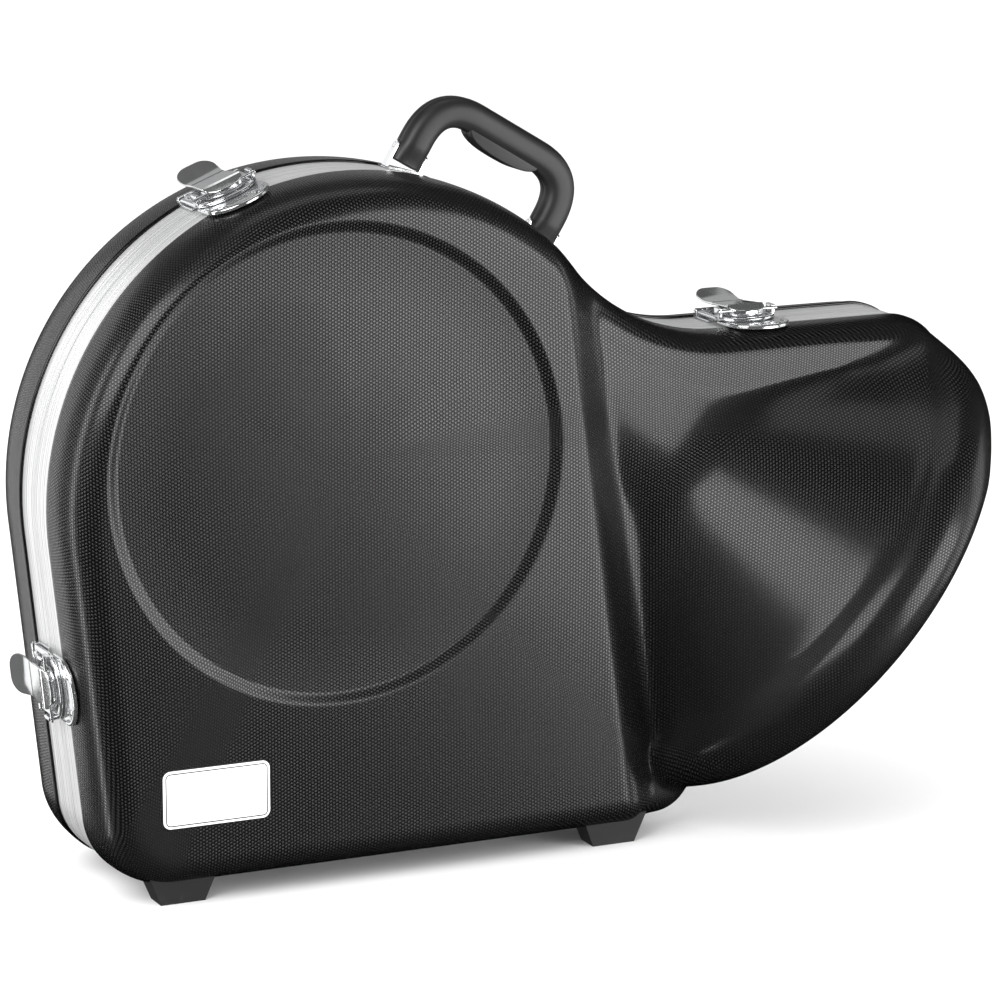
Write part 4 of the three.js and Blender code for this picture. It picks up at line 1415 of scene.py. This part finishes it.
@dataclass
class DrawLatch:
    """A draw latch: base plate, link, lever and the keeper on the other half."""

    number: int
    seat: Matrix
    width: float = 44 * MM
    plate: float = 1.4 * MM
    gap: float = 0.3 * MM
    link_back: float = 19 * MM
    link_front: float = 25 * MM
    link_round: float = 17 * MM
    link_bar: float = 4.4 * MM
    link_height: float = 2.6 * MM
    link_pivot: float = 4.6 * MM
    pin_radius: float = 1.1 * MM
    knuckle: float = 2.3 * MM
    lever_width: float = 27 * MM
    lever_plate: float = 1.6 * MM
    lever_front: float = 20 * MM
    lever_round: float = 9 * MM
    lever_corner: float = 9.5 * MM
    lever_back: float = 41 * MM
    creases: Point2 = (-10 * MM, 15 * MM)
    front_drop: float = 0.8 * MM
    hump: float = 2.4 * MM
    sag: float = 0.4 * MM
    curl_length: float = 21 * MM
    curl_rise: float = 5.4 * MM
    bead_height: float = 0.45 * MM
    bead_width: float = 0.7 * MM
    waist: float = 0.12
    waist_length: float = 9 * MM
    lever_pivot: float = 14 * MM
    lever_height: float = 9.6 * MM
    keeper_front: float = 46 * MM
    keeper_back: float = 12 * MM
    keeper_round: float = 18 * MM
    keeper_rim: float = 3.4 * MM
    keeper_base: float = 1.8 * MM
    rim_rise: float = 1.3 * MM
    rivet_radius: float = 2.3 * MM
    rivet_rise: float = 1.0 * MM
    pin_overhang: float = 0.8 * MM
    base_corner: float = 3 * MM
    cheek_room: float = 1.2 * MM
    skirt_wall: float = 2.2 * MM
    skirt_low: float = 5.5 * MM
    skirt_back: float = 6 * MM          # behind the front crease
    crease_step: float = 0.4 * MM
    curl_rows: int = 10
    curl_power: float = 1.8
    finish: Finish = field(default_factory=Chrome)

    def build(self) -> list[bpy.types.Object]:
        """The four parts, each on its body."""
        name = f"latch_{self.number}"
        made = []
        for part, mesh, body in (("base", self.base(), "back"), ("link", self.link(), f"{name}_link"),
                                 ("lever", self.lever(), f"{name}_lever"), ("keeper", self.keeper(), "lid")):
            mesh.transform(self.seat)
            made.append(make_piece(f"{name}_{part}_chrome", mesh, self.finish, body, [f"{name}_{part}"]))
        return made

    def base(self) -> bmesh.types.BMesh:
        """Plate with rivets and the two knuckles that hold the link's pin."""
        depth = self.link_back + self.knuckle
        half = self.width / 2
        contour = [(-half, self.gap), (half, self.gap)] + corner_points(half, depth, self.base_corner, 4)
        parts = [stamped(contour, self.gap, self.gap + self.plate, 0.4 * MM)]
        inner = self.width / 2 - self.link_bar
        ear = self.link_bar
        tall = self.link_pivot - self.gap
        for side in (-1, 1):
            x = side * (inner + ear / 2)
            size = (ear, 2 * self.knuckle, tall)
            rivet_at = (side * inner * 0.66, depth * 0.42, self.gap + self.plate)
            parts.append(rounded_box(size, (x, self.link_back, self.gap + tall / 2), 0.3 * MM))
            parts.append(rod(self.knuckle, ear, (x, self.link_back, self.link_pivot), 0.4 * MM))
            parts.append(domed_head(self.rivet_radius, self.rivet_rise, rivet_at))
        pin = self.width + 2 * self.pin_overhang
        parts.append(rod(self.pin_radius, pin, (0, self.link_back, self.link_pivot), 0.3 * MM))
        return gather(parts)

    def link(self) -> bmesh.types.BMesh:
        """A fat round-fronted frame, its barrel and the two cheeks of the lever's pivot."""
        bottom = self.link_pivot - self.link_height / 2
        top = bottom + self.link_height
        rear = self.link_back - self.knuckle - 2 * self.gap
        inner = self.width - 2 * self.link_bar
        outer_line = round_ended(self.width, rear, self.link_front, self.link_round, 1.5 * MM)
        window = round_ended(inner, rear - self.link_bar, self.link_front - self.link_bar,
                             self.link_round - self.link_bar, 1.5 * MM)
        parts = [stamped(outer_line, bottom, top, self.link_height * 0.46, window, segments=5)]
        barrel = inner - 2 * self.gap
        bridge = (barrel, self.link_bar, self.link_height)
        parts.append(rounded_box(bridge, (0, self.link_back - self.link_bar / 2, self.link_pivot), 0.5 * MM))
        parts.append(rod(self.knuckle, barrel, (0, self.link_back, self.link_pivot), 0.3 * MM))
        tall = self.lever_height + self.knuckle - bottom
        for side in (-1, 1):
            x = side * (self.width - self.link_bar - self.gap) / 2
            size = (self.link_bar - self.gap - self.cheek_room, 2 * self.link_bar, tall)
            middle = (x, self.link_bar - self.lever_pivot, bottom + tall / 2)
            parts.append(rounded_box(size, middle, 0.9 * MM, 4))
        return gather(parts)

    def lever(self) -> bmesh.types.BMesh:
        """A folded plate with three facets, a round front with a skirt and a curled free end."""
        low = self.lever_height - self.lever_plate / 2
        plan = round_ended(self.lever_width, self.lever_back, self.lever_front, self.lever_round,
                           self.lever_corner)
        plate = stamped(plan, 0.0, self.lever_plate, 0.5 * MM)
        for y in self.cut_lines():
            geometry = plate.verts[:] + plate.edges[:] + plate.faces[:]
            bmesh.ops.bisect_plane(plate, geom=geometry, dist=WELD, plane_co=(0, y, 0),
                                   plane_no=(0, 1, 0))
        for vertex in plate.verts:
            near = math.exp(-((vertex.co.y - self.creases[1]) / self.waist_length) ** 2)
            vertex.co.x *= 1 - self.waist * near
            top = vertex.co.z > self.lever_plate / 2
            vertex.co.z += low + self.fold(vertex.co.y) + (self.bead(vertex.co.y) if top else 0.0)
        wall, rear = self.skirt_wall, self.creases[0] + self.skirt_back
        skirt_line = round_ended(self.lever_width, rear, self.lever_front, self.lever_round)
        skirt_window = round_ended(self.lever_width - 2 * wall, rear - wall, self.lever_front - wall,
                                   self.lever_round - wall)
        skirt = stamped(skirt_line, self.skirt_low, low + self.lever_plate, 0.9 * MM, skirt_window,
                        segments=4)
        trunnion = rod(self.pin_radius, self.width - self.gap, (0, -self.lever_pivot, self.lever_height))
        return gather([plate, skirt, trunnion])

    def cut_lines(self) -> list[float]:
        """Where the lever's plate is cut so that it can fold and curl."""
        lines = [crease + step * self.crease_step for crease in self.creases for step in range(-4, 5)]
        start = self.lever_back - self.curl_length
        return lines + [start + self.curl_length * i / self.curl_rows for i in range(self.curl_rows)]

    def bead(self, y: float) -> float:
        """Height of the bright bead along each crease."""
        offs = [(y - crease) / self.bead_width for crease in self.creases]
        return sum(self.bead_height * math.exp(-off ** 2) for off in offs)

    def fold(self, y: float) -> float:
        """Height of the lever's underside along its length."""
        front, back = self.creases
        height = smooth_line(y, -self.lever_front, -self.front_drop, front, self.hump)
        height += smooth_line(y, front, 0.0, back, self.sag - self.hump)
        curl = max(y - (self.lever_back - self.curl_length), 0.0) / self.curl_length
        return height + self.curl_rise * curl ** self.curl_power

    def keeper(self) -> bmesh.types.BMesh:
        """Round-fronted plate with a fat raised rim, rivets and a tab over the shell."""
        contour = round_ended(self.width, -self.keeper_back, self.keeper_front, self.keeper_round, 1.0 * MM)
        top = self.keeper_base + self.plate
        parts = [stamped(contour, self.keeper_base, top, 0.5 * MM)]
        rim_width = self.keeper_rim
        window = round_ended(self.width - 2 * rim_width, -self.keeper_back - rim_width,
                             self.keeper_front - rim_width, self.keeper_round - rim_width, 1.0 * MM)
        rim = stamped(contour, self.keeper_base, top + self.rim_rise, 1.25 * MM, window, segments=5)
        keep_side(rim, (0, -self.link_front - 2 * self.gap, 0), (0, 1, 0))
        parts.append(rim)
        for side in (-1, 1):
            at = (side * self.width * 0.27, -(self.keeper_front + self.link_front) / 2, top)
            parts.append(domed_head(self.rivet_radius, self.rivet_rise, at))
        return gather(parts)


def smooth_line(y: float, start: float, low: float, end: float, high: float) -> float:
    """A straight rise between two places, level outside them."""
    share = min(max((y - start) / (end - start), 0.0), 1.0)
    return low + (high - low) * share


@dataclass
class CarryHandle:
    """A squared arch in two halves, with a finger pad under the grip."""

    seat: Matrix
    span: float = 110 * MM
    height: float = 58.5 * MM
    radius: float = 10.2 * MM
    bend: float = 30 * MM
    pin_rise: float = 7.8 * MM
    gap: float = 0.3 * MM
    taper: float = 14 * MM
    swell: float = 5.5 * MM
    swell_length: float = 56 * MM
    swell_width: float = 16.4 * MM
    pad_root: float = 3 * MM
    pad_fullness: float = 2.6
    pad_edge: float = 2.2 * MM
    squareness: float = 3.0
    seam: float = 0.3 * MM
    seam_round: float = 0.9 * MM
    seam_width: float = 1.5 * MM
    leg_rows: int = 14
    bend_rows: int = 18
    top_rows: int = 30
    finish: Finish = field(default_factory=GripSkin)

    def path(self) -> list[tuple[Vector, Vector]]:
        """Points along the arch with the way outwards from its inside."""
        reach, top, bend = self.span / 2, self.height - self.radius, self.bend
        points: list[Vector] = []
        steps, bend_rows, top_rows = self.leg_rows, self.bend_rows, self.top_rows
        points += [Vector((-reach, 0, (top - bend) * i / steps)) for i in range(steps)]

        def curve(a: Vector, b: Vector, c: Vector) -> None:
            """Adds a bend."""
            shares = [i / bend_rows for i in range(bend_rows)]
            points.extend(a * (1 - t) ** 2 + b * 2 * t * (1 - t) + c * t * t for t in shares)

        curve(Vector((-reach, 0, top - bend)), Vector((-reach, 0, top)), Vector((bend - reach, 0, top)))
        flat = 2 * reach - 2 * bend
        points += [Vector((bend - reach + flat * i / top_rows, 0, top)) for i in range(top_rows)]
        curve(Vector((reach - bend, 0, top)), Vector((reach, 0, top)), Vector((reach, 0, top - bend)))
        points += [Vector((reach, 0, (top - bend) * (1 - i / steps))) for i in range(steps + 1)]
        result = []
        for i, at in enumerate(points):
            way = (points[min(i + 1, len(points) - 1)] - points[max(i - 1, 0)]).normalized()
            result.append((at, Vector((-way.z, 0, way.x))))
        return result

    def half_mesh(self, side: int) -> bmesh.types.BMesh:
        """One half of the arch.

        Args:
            side: -1 for the front half, 1 for the back.

        Returns:
            Its closed mesh.
        """
        steps = 28
        rings: list[list[Vector]] = []
        narrow = (self.pin_rise - self.gap) / self.radius
        for at, out in self.path():
            taper = smooth_step((at.z - self.gap) / self.taper)
            depth_share = narrow + (1 - narrow) * taper
            line = []
            for i in range(steps + 1):
                turn = math.pi * (1 - math.cos(math.pi * i / steps)) / 2
                outward, across = math.cos(turn), math.sin(turn)
                power = self.squareness
                square = (abs(outward) ** power + across ** power) ** (1 / power)
                reach, wide = self.radius * outward / square, self.radius * across / square
                groove = self.seam_round * max(1 - wide / self.seam_width, 0.0) ** 2
                reach -= math.copysign(groove, outward)
                depth = side * max(wide * depth_share, self.seam / 2)
                line.append(at + out * reach + Vector((0, depth, 0)))
            rings.append(line)

        def place(column: int, row: int) -> Vector:
            """A point of the half; the last column closes along the seam, the end rows close the ends."""
            line = rings[min(max(row - 1, 0), len(rings) - 1)]
            if row in (0, len(rings) + 1):
                return sum(line, Vector()) / len(line)
            return line[column % (steps + 1)]

        return lay_grid(steps + 1, len(rings) + 1, place)

    def pad_mesh(self, side: int) -> bmesh.types.BMesh:
        """One half of the finger pad: a long lens let into the grip's underside.

        Args:
            side: -1 for the front half, 1 for the back.

        Returns:
            Its closed mesh.
        """
        half = self.swell_length / 2
        contour = [(half, self.pad_root - self.radius), (-half, self.pad_root - self.radius)]
        steps = 32
        for i in range(1, steps):
            x = -half * math.cos(math.pi * i / steps)
            drop = (self.pad_root + self.swell) * (1 - abs(x / half) ** self.pad_fullness) ** (1 / 2)
            contour.append((x, self.pad_root - self.radius - drop))
        bm = stamped(contour, self.seam / 2, self.swell_width / 2, self.pad_edge, segments=4)
        axis = self.height - self.radius
        bm.transform(Matrix(((1, 0, 0, 0), (0, 0, side, 0), (0, 1, 0, axis), (0, 0, 0, 1))))
        bmesh.ops.recalc_face_normals(bm, faces=bm.faces)
        return bm

    def build(self) -> list[bpy.types.Object]:
        """Both halves on the handle's body."""
        made = []
        for half in Half:
            mesh = gather([self.half_mesh(half.value), self.pad_mesh(half.value)], self.seat)
            name = f"handle_{half.label}_shell"
            node = f"handle_grip_{half.label}"
            made.append(make_piece(name, mesh, self.finish, "handle", [node], crease=50.0))
        return made


@dataclass
class NamePlate:
    """The bare white plate, let into the face."""

    low: Vector
    high: Vector
    corner: float = 5 * MM
    edge: float = 0.45 * MM
    shadow: float = 0.7 * MM
    corner_rows: int = 8

    def rounded(self, grow: float) -> list[Point2]:
        """The plate's outline about its middle."""
        half_x = (self.high.x - self.low.x) / 2 + grow
        half_z = (self.high.z - self.low.z) / 2 + grow
        corner = self.corner + grow
        points = []
        for i, (sx, sz) in enumerate(((1, 1), (-1, 1), (-1, -1), (1, -1))):
            for k in range(self.corner_rows + 1):
                turn = QUARTER_TURN * (i + k / self.corner_rows)
                x = sx * (half_x - corner) + corner * math.cos(turn)
                points.append((x, sz * (half_z - corner) + corner * math.sin(turn)))
        return points

    def build(self) -> list[bpy.types.Object]:
        """The plate and the dark line round it."""
        middle = (self.low + self.high) / 2
        upright = Matrix.Translation((middle.x, self.high.y, middle.z))
        upright = upright @ Matrix.Rotation(QUARTER_TURN, 4, "X")
        thick = self.high.y - self.low.y
        plate = stamped(self.rounded(0.0), 0.0, thick, self.edge)
        plate.transform(upright)
        half = ((self.high.x - self.low.x) / 2, (self.high.z - self.low.z) / 2)
        finish = BarePlate(centre=(middle.x, middle.z), half=half, corner=self.corner)
        made = [make_piece("name_plate_bare", plate, finish, "lid", ["name_plate"])]
        gap = stamped(self.rounded(self.shadow), 0.3 * MM, thick * 0.48, 0.1 * MM)
        gap.transform(upright)
        made.append(make_piece("name_plate_shadow", gap, DarkGap(), "lid"))
        return made


# Studio


CASE_AIM = Vector((0.0, 0.0, 0.25))
FACE_AIM = Vector((-0.1, -0.07, 0.25))
BELL_AIM = Vector((0.15, -0.1, 0.25))


@dataclass(frozen=True)
class SoftBox:
    """A soft rectangular light."""

    label: str
    place: Vector
    width: float
    height: float
    radiance: float
    roll: float = 0.0
    aim: Vector = CASE_AIM

    def build(self) -> None:
        """Hangs the light."""
        data = bpy.data.lights.new(self.label, "AREA")
        data.shape = "RECTANGLE"
        data.size, data.size_y = self.width, self.height
        data.energy = self.radiance * math.pi * self.width * self.height
        lamp = bpy.data.objects.new(self.label, data)
        lamp.location = self.place
        facing = (self.aim - self.place).to_track_quat("-Z", "Y").to_matrix()
        lamp.rotation_euler = (facing @ Matrix.Rotation(math.radians(self.roll), 3, "Z")).to_euler()
        lamp.visible_camera = False
        bpy.context.scene.collection.objects.link(lamp)


SOFT_BOXES = (
    SoftBox("front_right", Vector((0.97, -1.38, 0.2)), 1.1, 1.1, radiance=6.2, roll=45.0, aim=FACE_AIM),
    SoftBox("key_left", Vector((-1.15, -0.75, 1.05)), 1.1, 0.9, radiance=6.5, aim=BELL_AIM),
    SoftBox("right_side", Vector((1.7, -0.35, 0.25)), 0.7, 1.5, radiance=2.0),
    SoftBox("left_strip", Vector((-1.5, 0.35, 0.25)), 0.3, 1.9, radiance=6.0),
    SoftBox("back_left", Vector((-0.85, 1.5, 0.3)), 0.9, 1.7, radiance=1.2),
    SoftBox("back", Vector((0.45, 1.7, 0.95)), 1.7, 1.2, radiance=0.34),
    SoftBox("overhead", Vector((0.05, 0.15, 1.8)), 1.1, 0.6, radiance=1.3),
)


@dataclass
class Studio:
    """Camera, floor and light of a plain product picture."""

    target: Vector
    azimuth: float = -25.0
    elevation: float = 12.5
    distance: float = 2.925
    lens: float = 162.0
    sensor: float = 36.0
    floor_size: float = 30.0
    sky: float = 1.25

    def camera(self) -> None:
        """Sets the camera at the photograph's angle."""
        data = bpy.data.cameras.new("camera")
        data.lens, data.sensor_width, data.sensor_fit = self.lens, self.sensor, "HORIZONTAL"
        data.clip_end = 100.0
        camera = bpy.data.objects.new("camera", data)
        turn, rise = math.radians(self.azimuth), math.radians(self.elevation)
        away = Vector((math.sin(turn) * math.cos(rise), -math.cos(turn) * math.cos(rise), math.sin(rise)))
        camera.location = self.target + away * self.distance
        camera.rotation_euler = (-away).to_track_quat("-Z", "Y").to_euler()
        bpy.context.scene.collection.objects.link(camera)
        bpy.context.scene.camera = camera

    def floor(self) -> None:
        """Lays the paper."""
        bm = bmesh.new()
        bmesh.ops.create_grid(bm, x_segments=2, y_segments=2, size=self.floor_size / 2)
        mesh = bpy.data.meshes.new("studio_floor")
        bm.to_mesh(mesh)
        bm.free()
        floor = bpy.data.objects.new("studio_floor", mesh)
        mesh.materials.append(StudioPaper().material())
        bpy.context.scene.collection.objects.link(floor)
        floor.visible_glossy = False
        floor.visible_shadow = False

    def light(self) -> None:
        """Pale surroundings that only matt surfaces see, and soft boxes for the gloss."""
        world = bpy.data.worlds.new("studio")
        world.use_nodes = True
        background = world.node_tree.nodes["Background"]
        background.inputs["Color"].default_value = (1.0, 1.0, 1.0, 1.0)
        background.inputs["Strength"].default_value = self.sky
        world.cycles_visibility.glossy = False
        scene = bpy.context.scene
        scene.world = world
        scene.view_settings.view_transform = "Standard"
        for box in SOFT_BOXES:
            box.build()


# The whole


@dataclass(frozen=True)
class Places:
    """Where the fittings sit on the outline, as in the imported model."""

    form: CaseForm
    latch_top_angle: float = 111.5      # degrees round the big round
    latch_flat_reach: float = 293 * MM
    latch_side_height: float = 138 * MM
    handle_angle: float = 59.0
    handle_standoff: float = 3.4 * MM

    def latch_seats(self) -> list[tuple[Vector, Vector]]:
        """Each latch's point of the outline and the way inwards from it."""
        form = self.form
        turn = math.radians(self.latch_top_angle)
        way = Vector((math.cos(turn), math.sin(turn)))
        side_down = Vector((form.side_in.y, -form.side_in.x))
        drop = (form.side_top.y - self.latch_side_height) / form.side_in.x
        return [
            (form.arc_centre + way * form.arc_radius, -way),
            (Vector((self.latch_flat_reach, form.top)), Vector((0, -1))),
            (form.side_top + side_down * drop, form.side_in),
        ]

    def handle_seat(self) -> Matrix:
        """The handle's frame, its legs' ends a stand-off above the band."""
        form, leg = self.form, CarryHandle.span / 2
        foot = math.sqrt((form.arc_radius + self.handle_standoff) ** 2 - leg ** 2)
        turn = math.radians(self.handle_angle)
        out = Vector((math.cos(turn), math.sin(turn)))
        at = form.arc_centre + out * foot
        return Matrix(((out.y, 0, out.x, at.x + form.shift), (0, 1, 0, form.band_half / 2),
                       (-out.x, 0, out.y, at.y), (0, 0, 0, 1)))


def dress_packed(finish: Finish, *names: str) -> None:
    """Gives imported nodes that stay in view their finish."""
    for name in names:
        finish.wear(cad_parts[name])
        log.info("%s stays and wears %s", name, finish.label)


def main() -> None:
    """Builds the case from its shells inwards and then its fittings."""
    logging.basicConfig(level=logging.INFO, format="%(name)s: %(message)s")
    low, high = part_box("name_plate")
    shift = (low.x + high.x) / 2 + PLATE_REACH
    form = CaseForm(shift=shift)
    studio = Studio(target=Vector((shift + LOOK_REACH, -form.band_half, LOOK_HEIGHT)))
    studio.camera()
    studio.floor()
    studio.light()
    for half in Half:
        Shell(form, half).build()
        Band(form, half).build()
        Lining(form, half).build()
        Island(form, half).build()
    places = Places(form)
    for number, (at, inward) in enumerate(places.latch_seats(), 1):
        DrawLatch(number, seat_matrix(form, at, inward)).build()
    CarryHandle(places.handle_seat()).build()
    NamePlate(low, high).build()
    steel = PlatedSteel()
    dress_packed(Chrome(), "handle_bracket_1", "handle_bracket_2", "handle_pin_1", "handle_pin_2")
    corners = [f"{depth}_{side}" for depth in ("front", "back") for side in ("left", "right")]
    dress_packed(FootRubber(), *(f"foot_{corner}" for corner in corners))
    dress_packed(steel, *(f"foot_screw_{corner}" for corner in corners))
    for number in (1, 2, 3):
        dress_packed(steel, *(f"hinge_{number}_{part}" for part in ("leaf_front", "leaf_back", "pin")))


if __name__ == "__main__":
    main()
